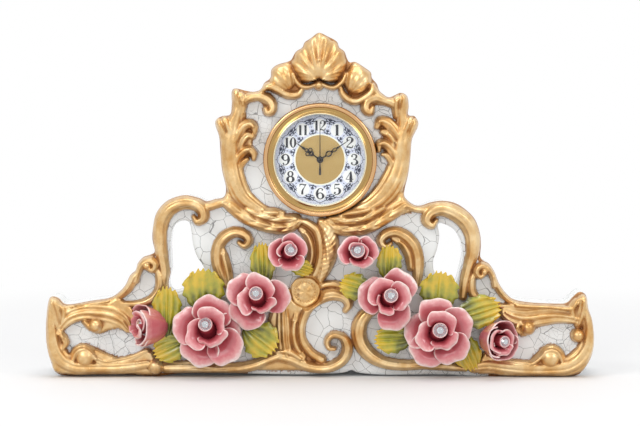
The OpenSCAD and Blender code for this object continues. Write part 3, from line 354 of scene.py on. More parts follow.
scrolls = {
    # name: kind, [(right, up, half width, height)]
    "crest_frame_l": ("band", [(-73, 254, 2.5, 6), (-74.5, 243, 6, 8), (-78.5, 229.5, 8.5, 9),
        (-80.5, 216, 9.5, 10), (-80.5, 201.5, 10, 10), (-79, 188.5, 10, 11), (-75.5, 175, 10, 11),
        (-69.5, 164, 9, 10), (-61, 157, 7.5, 9), (-51.5, 151.5, 6, 8), (-40.5, 148.5, 4.5, 8),
        (-29.5, 146.5, 2.5, 7)]),
    "crest_tip_l": ("leaf", [(-71, 237.5, 4.5, 6), (-74, 248.5, 6, 10), (-76, 256, 4.5, 12),
        (-76, 260.5, 2.5, 11)]),
    "crest_tip2_l": ("leaf", [(-70.5, 241.5, 3.5, 8), (-69.5, 249.5, 4, 11), (-70.5, 255, 3.5, 12),
        (-72, 258, 2, 11)]),
    "crest_side_l": ("leaf", [(-83, 207, 4.5, 6), (-86, 218.5, 6, 9.5), (-90, 228, 5.5, 12),
        (-93, 233.5, 2.5, 11.5)]),
    "crest_side2_l": ("leaf", [(-80.5, 210.5, 3.5, 7), (-81, 221.5, 4.5, 10.5), (-84, 229.5, 4.5, 12),
        (-86.5, 235.5, 2.5, 11)]),
    "crest_top_l": ("band", [(-70.5, 247, 3, 7), (-66, 253, 4.5, 9), (-57.5, 255.5, 5, 10),
        (-49.5, 254, 5.5, 11), (-44, 249, 5.5, 12), (-43.5, 242.5, 4.5, 13), (-47.5, 240.5, 3.5, 13),
        (-49.5, 244.5, 2.5, 12)]),
    "crest_lobe_a_l": ("leaf", [(-77.5, 208.5, 4.5, 7), (-74.5, 220.5, 6, 10), (-69.5, 228, 5.5, 11),
        (-64, 230.5, 5, 12), (-59.5, 227.5, 4, 13), (-59, 222.5, 2.5, 11)]),
    "crest_lobe_a2_l": ("leaf", [(-74, 205, 3, 8), (-70.5, 215, 3.5, 10.5), (-65.5, 220.5, 3.5, 11),
        (-61, 219, 2.5, 11)]),
    "crest_lobe_b_l": ("leaf", [(-77.5, 188.5, 4, 7), (-74.5, 199.5, 5, 10), (-69.5, 205.5, 5, 11),
        (-64, 207.5, 4, 12), (-60, 204, 3.5, 12.5), (-60, 199, 2.5, 11)]),
    "crest_lobe_b2_l": ("leaf", [(-73, 187, 2.5, 8), (-70.5, 194, 3, 10), (-66, 198.5, 2.5, 10.5)]),
    "under_a_l": ("lobed", [(-96.5, 158, 3.5, 7), (-87.5, 160, 4.5, 9), (-79.5, 155, 6, 10),
        (-70.5, 148, 6.5, 11), (-60.5, 142.5, 6.5, 12), (-49.5, 138.5, 6.5, 12.5), (-37.5, 136.5, 6.5, 13),
        (-27, 137.5, 6, 13), (-18.5, 142.5, 3.5, 11)]),
    "under_b_l": ("lobed", [(-66.5, 153.5, 3, 9), (-58.5, 149.5, 4, 12), (-49.5, 147, 4.5, 13.5),
        (-39.5, 145, 4.5, 14), (-29.5, 144.5, 4.5, 13.5), (-22, 144.5, 2.5, 12)]),
    "under_ball_l": ("leaf", [(-56, 152.5, 3, 9), (-47.5, 150.5, 4.5, 13), (-40.5, 150.5, 4.5, 14.5),
        (-34, 149.5, 3, 12)]),
    "arm_l": ("band", [(-138.5, 79, 4.5, 6), (-141, 94.5, 5.5, 8), (-143.5, 109, 6, 9),
        (-145, 125, 6.5, 10), (-144.5, 140.5, 7.5, 10), (-138, 153, 8, 11), (-127.5, 159, 7.5, 12),
        (-115.5, 159, 7, 12), (-107.5, 154, 6.5, 13), (-105.5, 146, 5.5, 13), (-111, 142, 4, 12.5),
        (-114.5, 146.5, 2.5, 11)]),
    "arm_join_l": ("band", [(-113, 159, 5.5, 8), (-104, 156, 5, 9), (-95, 157.5, 4.5, 9),
        (-86.5, 160.5, 4, 8)]),
    "volute_l": ("leaf", [(-203.5, 68, 2.5, 6), (-193, 70.5, 3.5, 7), (-183.5, 75, 5, 9),
        (-175.5, 81.5, 5.5, 10), (-170, 90, 5.5, 11), (-166, 98.5, 5, 12)]),
    "volute_top_l": ("band", [(-167.5, 88, 3.5, 9), (-165, 98, 4.5, 11), (-160.5, 105, 4.5, 13),
        (-154, 107, 4.5, 13), (-149.5, 103, 4, 13), (-152, 98, 3.5, 12), (-156.5, 100, 2.5, 12)]),
    "volute_in_l": ("band", [(-148.5, 100, 3, 8), (-145.5, 90, 4.5, 9), (-146.5, 80, 4.5, 9),
        (-152.5, 72, 4.5, 9), (-162, 67.5, 4, 8), (-173, 67, 3, 7), (-183.5, 67.5, 2.5, 7)]),
    "base_end_l": ("band", [(-243.5, 68, 4.5, 9), (-244, 52.5, 7, 10), (-243, 39, 7.5, 11),
        (-241, 26.5, 9, 11), (-234.5, 15.5, 9.5, 11), (-222, 9.5, 8.5, 11), (-204.5, 9, 7.5, 10),
        (-188.5, 9, 7.5, 10), (-171, 10.5, 7.5, 10), (-157.5, 12.5, 7, 9.5)]),
    "horn_l": ("leaf", [(-238, 45.5, 6, 8), (-240.5, 57, 7, 11), (-242.5, 65.5, 6, 13),
        (-244, 71.5, 2.5, 12.5)]),
    "horn_in_l": ("leaf", [(-234.5, 49, 4, 8), (-232.5, 60, 4.5, 10.5), (-235.5, 66.5, 4, 12),
        (-241, 71, 2, 12)]),
    "base_curl_l": ("leaf", [(-225.5, 11, 4.5, 9), (-222, 22, 5.5, 11.5), (-215.5, 26, 5.5, 13),
        (-209, 23, 5, 12.5), (-203.5, 17, 4, 11.5), (-195.5, 13.5, 3.5, 11), (-183, 15, 3.5, 10),
        (-170, 18.5, 3, 9.5), (-157.5, 24.5, 2.5, 9)]),
    "base_top_l": ("fluted", [(-238, 43.5, 4.5, 7), (-229, 54.5, 7.5, 9), (-216.5, 59.5, 8.5, 10),
        (-202, 60, 9.5, 11), (-188.5, 57.5, 10, 11), (-179, 52.5, 8.5, 11), (-174, 45.5, 5.5, 10)]),
    "base_rim_l": ("band", [(-233.5, 65, 2.5, 11), (-220, 67.5, 2.5, 12), (-204.5, 69, 3, 12),
        (-193, 71, 3, 11)]),
    "base_drop2_l": ("leaf", [(-213.5, 51, 4, 9.5), (-209, 46, 4, 12), (-205.5, 44, 2.5, 11)]),
    "base_eye_l": ("leaf", [(-239, 43.5, 3.5, 9), (-234.5, 38, 4, 11.5), (-231, 32, 3.5, 11),
        (-233.5, 26.5, 2.5, 10.5)]),
    "skirt_l": ("band", [(-140, 9, 5.5, 10), (-118.5, 9, 6.5, 10.5), (-95.5, 7.5, 6, 10),
        (-73, 8.5, 5.5, 10), (-58.5, 11.5, 5.5, 10), (-47.5, 16, 5, 10), (-36.5, 20, 5.5, 9)]),
    "inner_c_l": ("band", [(-85, 84.5, 4, 7), (-90.5, 95.5, 5.5, 9), (-93.5, 107, 6, 10),
        (-92.5, 119, 6, 10.5), (-86.5, 128, 6, 11), (-77.5, 132.5, 5.5, 12), (-68.5, 130.5, 5, 13),
        (-64.5, 125, 4.5, 13), (-68.5, 120, 3.5, 12.5), (-73.5, 123, 2.5, 11.5)]),
    "inner_leaf_l": ("leaf", [(-89.5, 120, 2.5, 8), (-87, 109, 4.5, 10), (-84.5, 98, 5, 10),
        (-82, 86, 4, 9)]),
    "cee": ("band", [(23, 61, 3, 10), (26, 67, 4.5, 11), (21.5, 73.5, 5.5, 12), (10.5, 76, 6.5, 12),
        (-0.5, 72, 6, 12), (-9.5, 64.5, 5, 11.5), (-15, 54, 4.5, 11), (-17, 42.5, 4, 11),
        (-15, 32, 4.5, 11), (-7.5, 22, 4.5, 11), (1.5, 16.5, 5, 11)]),
    "cee_back": ("band", [(-4, 81, 2.5, 7), (7, 85, 3.5, 8), (17, 84, 4, 8), (25, 78, 4, 8),
        (28.5, 69, 2.5, 7)]),
    "spiral": ("band", [(-36.5, 19, 5.5, 9), (-25, 16, 5.5, 10), (-14, 11, 5.5, 11), (-1.5, 8.5, 5.5, 11),
        (10.5, 10, 5.5, 12), (21, 16.5, 5.5, 12), (25, 27, 5.5, 13), (21, 36.5, 4.5, 13.5), (12, 39, 4, 14),
        (6.5, 33.5, 3.5, 14), (8, 27.5, 3, 14), (13, 26.5, 2.5, 14)]),
    "trunk_a": ("fluted", [(-34, 78, 2.5, 4), (-34, 66, 5.5, 8), (-33, 47, 7.5, 11), (-32, 32.5, 7.5, 11),
        (-29.5, 20, 7.5, 10)]),
    "trunk_b": ("leaf", [(-20, 64, 2.5, 5), (-22, 56, 3.5, 8), (-24, 41.5, 4.5, 10.5), (-21.5, 29, 4.5, 11),
        (-15, 19, 3.5, 10)]),
    "trunk_c": ("leaf", [(-39.5, 23.5, 4.5, 9), (-29.5, 23.5, 5, 12), (-20.5, 19, 4.5, 12),
        (-13, 12.5, 3, 11)]),
    "cee_r": ("band", [(51.5, 62.5, 4, 9), (41, 56.5, 6.5, 11), (35.5, 45.5, 7.5, 12), (37, 32, 7.5, 12),
        (45.5, 20.5, 7, 12), (58.5, 13.5, 6, 11.5), (76, 11, 5.5, 10.5), (94, 11.5, 5, 10),
        (114, 10, 4.5, 9), (132, 8, 3.5, 8)]),
    "cee_flute": ("leaf", [(46.5, 58, 2.5, 12), (40, 50, 2.5, 13.2), (38.5, 39, 2.5, 13.2),
        (42, 28, 2.5, 12.8)]),
    "neck_out": ("band", [(-17.5, 142.5, 3, 8), (-10.5, 140, 4, 10), (-3, 133.5, 4.5, 11.5),
        (0, 121.5, 4.5, 12), (0, 109, 4.5, 12), (-3.5, 97, 4, 11), (-7.5, 90, 3, 9)]),
    "neck_in": ("leaf", [(-17.5, 135, 3, 8), (-11.5, 129, 4.5, 10), (-7.5, 117, 5, 10.5),
        (-8.5, 105.5, 4.5, 10), (-14, 95.5, 3.5, 9)]),
    "neck_leaf": ("chased", [(1.5, 141.5, 4.5, 10), (7, 133.5, 7.5, 12), (9, 122.5, 8.5, 13),
        (7.5, 110.5, 8, 13), (4, 100, 7, 12), (-0.5, 89, 4.5, 10)]),
    "crest_frame_r": ("band", [(74, 252.5, 3, 7), (75, 241.5, 6.5, 8), (76, 228.5, 8, 9),
        (74.5, 214, 9.5, 10), (73, 200.5, 10, 10), (70, 188, 11, 11), (64.5, 176, 11.5, 11),
        (56, 165, 10.5, 10), (45, 157, 8, 9), (33, 152.5, 6, 8), (22, 149.5, 3.5, 7)]),
    "crest_tip_r": ("leaf", [(73, 236, 5, 7), (75, 246, 6.5, 10), (76, 252.5, 5.5, 12),
        (76, 256.5, 2.5, 11.5)]),
    "crest_tip2_r": ("leaf", [(69.5, 237.5, 4, 8), (68.5, 246, 4.5, 11), (69, 251.5, 4, 12),
        (70.5, 254.5, 2.5, 11)]),
    "crest_side_r": ("leaf", [(78.5, 207, 4.5, 6), (81.5, 218.5, 5.5, 9.5), (84.5, 228, 5.5, 12),
        (86.5, 233.5, 2.5, 11.5)]),
    "crest_side2_r": ("leaf", [(75, 210.5, 3.5, 7), (76, 221.5, 4.5, 10.5), (79.5, 229.5, 4.5, 12),
        (82, 235.5, 2.5, 11)]),
    "crest_top_r": ("band", [(71, 241.5, 3, 7), (66, 248.5, 4.5, 9), (57.5, 252.5, 5.5, 10),
        (49.5, 254, 5.5, 11), (43, 250.5, 5.5, 12), (41.5, 244, 5, 13), (45.5, 241, 4, 13),
        (47.5, 245.5, 2.5, 12)]),
    "crest_lobe_a_r": ("leaf", [(75, 203.5, 4.5, 7), (71.5, 217, 6, 10), (66, 226.5, 6, 11),
        (60, 232, 5.5, 12), (54, 233, 4.5, 13), (51.5, 228, 3, 11.5)]),
    "crest_lobe_a2_r": ("leaf", [(70.5, 205, 3, 8), (66.5, 215, 4, 10.5), (61.5, 221.5, 4, 11),
        (56.5, 223.5, 3, 11)]),
    "crest_lobe_b_r": ("leaf", [(72, 187, 4.5, 7), (69.5, 199.5, 5.5, 10), (64.5, 208.5, 5.5, 11),
        (58.5, 213, 4.5, 12), (53.5, 212, 4, 12.5), (53, 206.5, 2.5, 11)]),
    "crest_lobe_b2_r": ("leaf", [(66.5, 187, 2.5, 8), (64.5, 195, 3, 10), (60.5, 201.5, 3, 10.5),
        (56.5, 203, 2, 10)]),
    "under_a_r": ("lobed", [(87.5, 154.5, 3.5, 7), (78.5, 157, 4.5, 9), (70.5, 152.5, 6, 10),
        (60.5, 146.5, 6.5, 11), (49.5, 140, 6.5, 12), (37.5, 135.5, 6.5, 12.5), (25, 134.5, 6.5, 13),
        (14, 136.5, 6, 13), (7, 142.5, 3.5, 11)]),
    "under_b_r": ("lobed", [(57.5, 154.5, 3, 9), (48.5, 149.5, 4.5, 12), (38.5, 145, 4.5, 13.5),
        (27.5, 143, 4.5, 14), (17.5, 143.5, 4.5, 13.5), (9.5, 145.5, 2.5, 12)]),
    "under_ball_r": ("leaf", [(50.5, 156, 3, 9), (41.5, 152.5, 4.5, 13), (31.5, 150.5, 4.5, 14.5),
        (21.5, 150, 4, 13), (12, 149.5, 2.5, 11)]),
    "arm_r": ("band", [(130, 73.5, 4, 6), (131.5, 87, 5, 8), (135, 100.5, 5.5, 9), (138.5, 115, 6.5, 10),
        (138, 130, 7.5, 10), (132, 142, 8, 11), (121.5, 150, 7.5, 12), (110, 153.5, 7, 12),
        (100.5, 150.5, 6.5, 13), (96.5, 143.5, 5.5, 13), (101.5, 138.5, 4, 12.5), (105.5, 143, 2.5, 11)]),
    "arm_join_r": ("band", [(105, 156, 5, 8), (95, 153.5, 4.5, 9), (85.5, 155, 4.5, 9), (78.5, 159, 4, 8)]),
    "volute_r": ("leaf", [(199, 65.5, 2, 6), (187.5, 66, 3, 7), (176.5, 69, 4, 9), (168, 75.5, 5, 10),
        (162, 84, 5, 11), (158, 92.5, 4.5, 12)]),
    "volute_top_r": ("band", [(159, 83.5, 3.5, 9), (157.5, 93.5, 4.5, 11), (152.5, 100, 4.5, 13),
        (146, 101.5, 4, 13), (142, 97, 4, 13), (145, 92, 3, 12), (149.5, 95, 2.5, 12)]),
    "volute_in_r": ("band", [(142, 98, 3, 8), (138, 89, 4, 9), (138.5, 78, 4.5, 9), (144, 70, 4.5, 9),
        (153, 66, 4, 8), (164.5, 65, 3, 7), (177.5, 65.5, 2, 7)]),
    "base_end_r": ("band", [(241, 69, 4.5, 9), (243.5, 57, 6.5, 10), (245.5, 43.5, 7.5, 11),
        (243.5, 28, 9, 11), (236.5, 16.5, 10, 11), (224.5, 9.5, 9.5, 11), (207.5, 7.5, 8.5, 10),
        (190, 7.5, 8.5, 10), (170, 9, 8.5, 10), (153, 11, 8, 9), (139.5, 9, 5.5, 8.5)]),
    "horn_r": ("leaf", [(235.5, 49, 5, 8), (238.5, 59, 6.5, 11), (239.5, 67, 5.5, 13),
        (239, 73.5, 2.5, 12.5)]),
    "horn_in_r": ("leaf", [(232, 52.5, 4, 8), (229, 61, 5, 10.5), (232, 67.5, 4, 12), (237, 72, 2, 12)]),
    "base_curl_r": ("leaf", [(221, 10, 4.5, 9), (218, 20, 5.5, 11.5), (212, 25, 5.5, 13),
        (205, 23.5, 5, 12.5), (200, 18, 4, 11.5), (192, 12.5, 4, 11), (179, 12, 3.5, 10),
        (165.5, 14, 3, 9.5), (154, 18, 2.5, 9)]),
    "base_top_r": ("fluted", [(241, 51, 4.5, 7), (230, 54.5, 6.5, 9), (216.5, 56.5, 8, 10),
        (202, 55.5, 9.5, 11), (187.5, 53.5, 10, 11), (175.5, 55.5, 8.5, 11), (168.5, 59, 5.5, 10)]),
    "base_rim_r": ("band", [(228, 62.5, 2.5, 11), (211, 65, 2.5, 12), (194.5, 66, 3, 12),
        (179, 66.5, 3, 11)]),
    "base_drop2_r": ("leaf", [(182, 51, 4, 9.5), (179, 45.5, 4, 12), (181, 41.5, 2.5, 11)]),
    "inner_c_r": ("band", [(88, 85.5, 4, 7), (89, 98, 5.5, 9), (88.5, 110, 6, 10), (85, 120.5, 6, 10.5),
        (77.5, 128.5, 6, 11), (68, 132.5, 5.5, 12), (59, 130, 5, 13), (55, 124, 4.5, 13),
        (59.5, 119, 3.5, 12.5), (64, 122, 2.5, 11.5)]),
    "inner_leaf_r": ("leaf", [(66.5, 127, 3, 9), (75, 121.5, 4.5, 10), (81, 111.5, 5, 10),
        (82.5, 100, 4, 9)]),
    "roc_roll_l": ("band", [(-55, 257, 2.5, 8), (-52, 262, 3.5, 11), (-46, 264.5, 4, 12.5),
        (-38.5, 262, 4.5, 12.5), (-29.5, 257, 4.5, 12), (-20.5, 257, 4, 11), (-16, 262, 2.5, 10)]),
    "roc_roll_r": ("band", [(18.5, 264, 2.5, 9), (20.5, 257.5, 3.5, 11), (26, 252.5, 4, 12),
        (33, 251, 4, 12.5), (40.5, 254.5, 4, 12.5), (46.5, 259.5, 4, 12), (47.5, 265, 3, 11)]),
    "roc_leaf_r": ("leaf", [(46, 263, 3.5, 9), (50.5, 260, 4, 11), (55, 255, 4, 11), (61, 251, 3, 9)]),
    "roc_leaf2_r": ("leaf", [(46, 250.5, 2.5, 9), (49.5, 254.5, 3.5, 12), (53, 257.5, 2.5, 11.5)]),
    "lip_l": ("band", [(-1.5, 268.5, 2, 10), (-7.5, 264.5, 2.5, 12.5), (-15, 264, 3, 12.5),
        (-21, 268.5, 3, 12), (-24, 275, 2.5, 11)]),
    "lip_r": ("band", [(-0.5, 268.5, 2, 10), (6, 264.5, 2.5, 12.5), (13, 263.5, 3, 12.5),
        (20, 268.5, 3, 12), (23, 275, 2.5, 11)]),
}

outline = curve(case_outline, 2.0, closed=True)
openings = [curve(points, 2.0, closed=True) for points in arm_openings]
bore = ring(dial_x, dial_z, bore_r)
borders = [outline, *openings, bore]
border_edges = np.concatenate([edges_of(line) for line in borders])
from_outline, edge_x, edge_z = distance(outline)
from_edge = from_outline.copy()
for line in borders[1:]:
    gap, x, z = distance(line)
    closer = gap < from_edge
    from_edge[closer], edge_x[closer], edge_z[closer] = gap[closer], x[closer], z[closer]
body = enclosed(border_edges, X.ravel(), Z.ravel()).reshape(X.shape)
rim = np.where(body, from_edge, -from_edge)
from_dial = np.hypot(X - dial_x, Z - dial_z)

# The gilding is held as millimetres within its painted edge, or less than 0 outside it.
gilt_limit = 4.0
height = np.zeros(X.shape)
gilding = np.full(X.shape, -gilt_limit)


def dome(r, power=2.4):
    """A rounded section: 1 at the middle, 0 where r is 1."""
    return np.sqrt(np.clip(1 - np.clip(r, 0, 1) ** power, 0, None))


def rounded(share):
    """A quarter round: it rises steeply from 0 and is level at 1."""
    return np.sqrt(1 - (1 - share) ** 2)


def raise_to(part, top, inside, gold):
    """Lifts the face to top where it is inside, and spreads the gilding."""
    lifted = inside & (top > height[part])
    height[part][lifted] = top[lifted]
    gilding[part] = np.maximum(gilding[part], gold)


def ground(top, rounding, points):
    """A low gilt cushion within an outline, on which scrolls lie."""
    line = curve(points, 1.5, closed=True)
    reach = max(rounding, 4) + 1
    part = window(line[:, 0].min() - reach, line[:, 0].max() + reach,
                  line[:, 1].min() - reach, line[:, 1].max() + reach)
    depth = distance(line, reach)[0][part]
    within = enclosed(edges_of(line), X[part].ravel(), Z[part].ravel()).reshape(depth.shape)
    depth = np.where(within, depth, -depth)
    raise_to(part, top * rounded(np.clip(depth / rounding, 0, 1)), depth > 0, depth)


def scroll(kind, points):
    """A raised stroke along a path of (right, up, half width, height)."""
    p = curve(points, 0.8)
    along = np.concatenate([[0], np.cumsum(np.hypot(*np.diff(p[:, :2], axis=0).T))])
    reach = p[:, 2].max() + 4
    part = window(p[:, 0].min() - reach, p[:, 0].max() + reach, p[:, 1].min() - reach, p[:, 1].max() + reach)
    x, z = X[part], Z[part]
    r, across, t = np.full(x.shape, 9.0), np.zeros(x.shape), np.zeros(x.shape)
    half, top = np.ones(x.shape), np.zeros(x.shape)
    for i, (a, b) in enumerate(zip(p, p[1:])):
        d = b[:2] - a[:2]
        u = np.clip(((x - a[0]) * d[0] + (z - a[1]) * d[1]) / max(d @ d, 1e-9), 0, 1)
        w = a[2] + u * (b[2] - a[2])
        q = np.hypot(x - a[0] - u * d[0], z - a[1] - u * d[1]) / w
        m = q < r
        r[m], half[m] = q[m], w[m]
        top[m] = (a[3] + u * (b[3] - a[3]))[m]
        across[m] = (q * np.sign(d[0] * (z - a[1]) - d[1] * (x - a[0])))[m]
        t[m] = (along[i] + u * (along[i + 1] - along[i]))[m]
    share = t / along[-1]
    section = dome(r, 2.4)
    if kind == "band":
        wide = np.clip((half - 2.2) / 3, 0, 1)
        groove = np.exp(-((r - 0.62) / 0.13) ** 2) + 0.55 * np.exp(-((across - 0.12) / 0.10) ** 2)
        section = dome(r, 2.6) - 0.16 * wide * groove + 0.03 * np.sin(t / 5.5) * wide
    elif kind == "leaf":
        lobes = np.clip(half / 2.6, 1, 3)
        section = dome(r, 2.0) * (0.9 + 0.10 * np.cos(np.pi * lobes * across + np.pi * (lobes < 1.5)))
        section -= 0.10 * np.exp(-(across / 0.13) ** 2) * np.sin(np.pi * np.clip(share, 0, 1))
    elif kind == "fluted":
        section *= 0.88 + 0.12 * np.cos(np.pi * 3 * across + 1.2 * share)
    elif kind == "lobed":
        lobe = np.mod(t / 15.0 + 0.8 * np.abs(across - 0.2), 1.0)
        section = dome(r, 2.2) * (0.84 + 0.16 * np.sin(np.pi * lobe) ** 0.5)
        section -= 0.09 * np.abs(np.cos(np.pi * 1.7 * across + 1.3 * share)) * np.clip(2 - 2 * r, 0, 1)
    elif kind == "chased":
        cut = np.sin(t / 1.2 + 3.0 * np.abs(across)) * np.sin(8.0 * across + t / 2.1)
        section = dome(r, 2.2) * (0.94 + 0.06 * cut)
    raise_to(part, top * section, r < 1, (1 - r) * half)


def knob(x, z, radius, top):
    """A round boss."""
    part = window(x - radius - 4, x + radius + 4, z - radius - 4, z + radius + 4)
    r = np.hypot(X[part] - x, Z[part] - z) / radius
    raise_to(part, top * dome(r, 2.2), r < 1, (1 - r) * radius)


bosses = [
    # right, up, radius, height
    (-149.7, 10, 8, 13), (-213.5, 18.5, 10, 14), (209.5, 17.5, 10, 14), (-204, 47.5, 7.5, 14.5),
    (189, 45.5, 7.5, 14.5), (-157, 102, 5, 13.5), (149, 96.5, 4.5, 13.5), (234.2, 38.4, 7, 13),
]
for ground_shape in gilt_grounds.values():
    ground(*ground_shape)
for scroll_shape in scrolls.values():
    scroll(*scroll_shape)
for boss in bosses:
    knob(*boss)

# The shell: a fan of broad flutes about its hinge, deeper in the middle, with a drop and a bead.
hinge = (-1.0, 271.0)
shell_reach = np.array([(-110, 10), (-95, 19.5), (-73, 25), (-57, 29.8), (-50, 29.5), (-42, 32), (-33, 32.5),
                        (-23, 35.8), (-17, 35.8), (-11.5, 38.2), (-5, 38.8), (0, 41.5), (6, 39.5), (11.5, 39),
                        (18, 36.5), (25, 37), (34, 34.5), (43, 33.5), (50, 31), (55, 30.2), (71, 25.4),
                        (93, 20.5), (110, 10)])
flutes = np.array([(0, -1.25), (5, -0.9), (11, 0.9), (17, 0.5), (23, -0.9), (30, 0.2), (37, 0.9), (44, 0.3),
                   (51, -0.8), (60, 0.3), (67, 0.8), (76, 0.1), (86, -0.5), (100, 0.0)])
part = window(-60, 60, 235, 315)
dx, dz = X[part] - hinge[0], Z[part] - hinge[1]
from_hinge = np.hypot(dx, dz)
turned = np.degrees(np.arctan2(dx, dz))
reach = np.interp(turned, *shell_reach.T)
share = from_hinge / reach
fan = np.abs(turned) < 108
belly = (8.0 + 8.0 * np.sin(np.pi * np.clip(share, 0, 1) ** 0.62)) * dome(share, 5)
fade = np.clip((share - 0.16) / 0.42, 0, 1)
ribs = 0.22 * np.cos(np.radians(turned) * 36)
flute = 2.1 * (np.interp(np.abs(turned), *flutes.T) + ribs) * fade * fade * (3 - 2 * fade) * dome(share, 8)
raise_to(part, belly + flute, (share < 1) & fan, np.where(fan, (1 - share) * reach, -gilt_limit))
knob(-1.2, 287.5, 2.3, 16.6)
knob(-1.2, 265.5, 5.2, 14)

# The rocaille domes beside it: four shallow grooves run over each from its inner side.
for x, z, radius, lean in [(-33.5, 271.5, 13.5, -1), (33.5, 269.5, 13.0, 1)]:
    part = window(x - 16, x + 16, z - 16, z + 16)
    r = np.hypot(X[part] - x, Z[part] - z) / radius
    turn = np.arctan2(Z[part] - z + 14, lean * (X[part] - x) + 9)
    groove = sum(deep * np.exp(-((turn - middle) / 0.10) ** 2)
                 for middle, deep in [(0.42, 0.8), (0.80, 1.0), (1.18, 1.0), (1.56, 0.8)])
    raise_to(part, 14.5 * dome(r, 2.2) - 1.5 * groove * dome(r, 4), r < 1, (1 - r) * radius)

# The face lies low under the seal, rounds over at its rim, and is flat under the bezel.
seal_low, seal_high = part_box("medallion")
seal_x, seal_z = 500 * (seal_low[0] + seal_high[0]), 500 * (seal_low[2] + seal_high[2])
seal_depth = front_y - 1000 * seal_low[1]
from_seal = np.hypot(X - seal_x, Z - seal_z)
under_seal = seal_depth - 3.0 + 2.2 * np.clip(from_seal - 13.5, 0, 6)
height = np.where(from_seal < 19, np.minimum(height, under_seal), height)
height = (height + rim_fall) * rounded(np.clip(rim / rim_round, 0, 1)) - rim_fall
seat = np.clip((from_dial - bezel_seat_r) / seat_round, 0, 1)
height = np.where(from_dial < bezel_seat_r, 0.0, np.minimum(height, height * rounded(seat)))

# The case's outer rim is gilt but for the plain skirt under its middle, and so is the crest's top.
plain_skirt = (X > -66) & (X < 154) & (Z < 16)
gilt_rim = (from_outline < 6) & (from_dial > bore_r + 3) & ~plain_skirt
gilding = np.where(gilt_rim, np.maximum(gilding, 3.2 - np.abs(rim)), gilding)
crest_top = (np.abs(X) < 52) & (Z > 268) & (from_dial > 58)
gilding = np.where(crest_top, np.maximum(gilding, 2.5), gilding)


def blurred(field, radius):
    """A field averaged over a square, twice."""
    n = int(radius / cell)
    for axis in (0, 1, 0, 1):
        padded = np.pad(field, [(n + 1, n) if a == axis else (0, 0) for a in (0, 1)], mode="edge")
        sums = np.cumsum(padded, axis=axis)
        size = field.shape[axis]
        field = (np.take(sums, range(2 * n + 1, 2 * n + 1 + size), axis)
                 - np.take(sums, range(size), axis)) / (2 * n + 1)
    return field


# How far each place lies below its surroundings, at two sizes: it browns the gold as antique wash and as
# painted shade in the hollows.
hollow_wash_and_shade = np.clip((blurred(height, 3.2) - height) / 2.4, 0, 1)
hollow_wash_and_shade = np.maximum(hollow_wash_and_shade, 0.85 * np.clip((blurred(height, 7.0) - height) / 5.0, 0, 1))

# The face as a sheet of small squares; those at a border have their outer corners drawn on to it.
corners = [body[:-1, :-1], body[:-1, 1:], body[1:, 1:], body[1:, :-1]]
used = np.logical_or.reduce(corners)
number = np.arange(X.size).reshape(X.shape)
squares = np.stack([number[:-1, :-1], number[:-1, 1:], number[1:, 1:], number[1:, :-1]], axis=-1)[used]
face_x = np.where(body, X, edge_x).ravel()
face_z = np.where(body, Z, edge_z).ravel()
from_middle = np.hypot(face_x - dial_x, face_z - dial_z)
face_y = np.where(body, front_y - height, front_y + rim_fall).ravel()
face_y = np.where(from_middle < bore_r + 1, front_y, face_y)
near_bore = from_middle < bore_r + 1.5


def side_depth(z):
    """How far back the case reaches at a height: its heel, the curve above it, then the slab."""
    sweep = [(heel_h, back_y), (heel_h + 22, back_y - 7), (foot_h - 14, slab_back + 4), (foot_h, slab_back)]
    path = curve(sweep, 4.0)
    return np.interp(z, path[:, 0], path[:, 1])


def rim_at(x, z):
    """How far places lie within the nearest border, read from the grid."""
    k = np.clip(np.round((z - gz[0]) / cell).astype(int), 0, len(gz) - 1)
    i = np.clip(np.round((x - gx[0]) / cell).astype(int), 0, len(gx) - 1)
    return rim[k, i]


# Edges of the sheet that belong to one square only are its border; walls run back from them.
sides = np.concatenate([squares[:, [i, (i + 1) % 4]] for i in range(4)])
key = np.sort(sides, axis=1) @ np.array([X.size, 1])
_, first, count = np.unique(key, return_index=True, return_counts=True)
border = sides[first[count == 1]]
border = border[~near_bore[border].all(axis=1)]
border_points = np.unique(border)
place = {p: i for i, p in enumerate(border_points)}
wall_x, wall_z = face_x[border_points], face_z[border_points]
wall_end = side_depth(wall_z) - edge_round
wall_start = face_y[border_points]
wall_rows = [0.0, 0.02, 0.05, 0.10, 0.2, 0.35, 0.5, 0.65, 0.8, 0.9, 1.0]
wall = np.concatenate([np.stack([wall_x, wall_start + f * (wall_end - wall_start), wall_z], axis=1)
                       for f in wall_rows])
border_gilding = np.clip(gilding.ravel()[border_points], -gilt_limit, gilt_limit)
wall_gilding = np.concatenate([border_gilding - 0.9 * f * (wall_end - wall_start) for f in wall_rows])
n = len(border_points)
a = np.array([place[p] for p in border[:, 0]])
b = np.array([place[p] for p in border[:, 1]])
wall_faces = np.concatenate([np.stack([b + r * n, a + r * n, a + (r + 1) * n, b + (r + 1) * n], axis=1)
                             for r in range(len(wall_rows) - 1)])

# The back: triangles between the walls' last row, a circle about the collar, and inner places.
wall_line = np.stack([wall_x, wall_z], axis=1)
collar_line = ring(dial_x, dial_z, collar_r)
inner_x, inner_z = np.meshgrid(np.arange(-250, 251, 2.2), np.arange(0, 314, 2.2))
keep = (rim_at(inner_x, inner_z) > 1.4) & (np.hypot(inner_x - dial_x, inner_z - dial_z) > collar_r + 1.2)
inner = np.stack([inner_x[keep], inner_z[keep]], axis=1)
flat = [Vector(p) for p in np.concatenate([wall_line, collar_line, inner])]
rings = np.arange(len(collar_line))
links = np.concatenate([np.stack([a, b], axis=1), np.stack([rings, np.roll(rings, -1)], axis=1) + n])
made = delaunay_2d_cdt(flat, links.tolist(), [], 0, 1e-5)
back_places = np.array([tuple(v) for v in made[0]])
triangles = np.array([f[::-1] for f in made[2]])
centre = back_places[triangles].mean(axis=1)
back_edges = np.concatenate([np.hstack([wall_line[a], wall_line[b]]), edges_of(collar_line)])
triangles = triangles[enclosed(back_edges, centre[:, 0], centre[:, 1])]
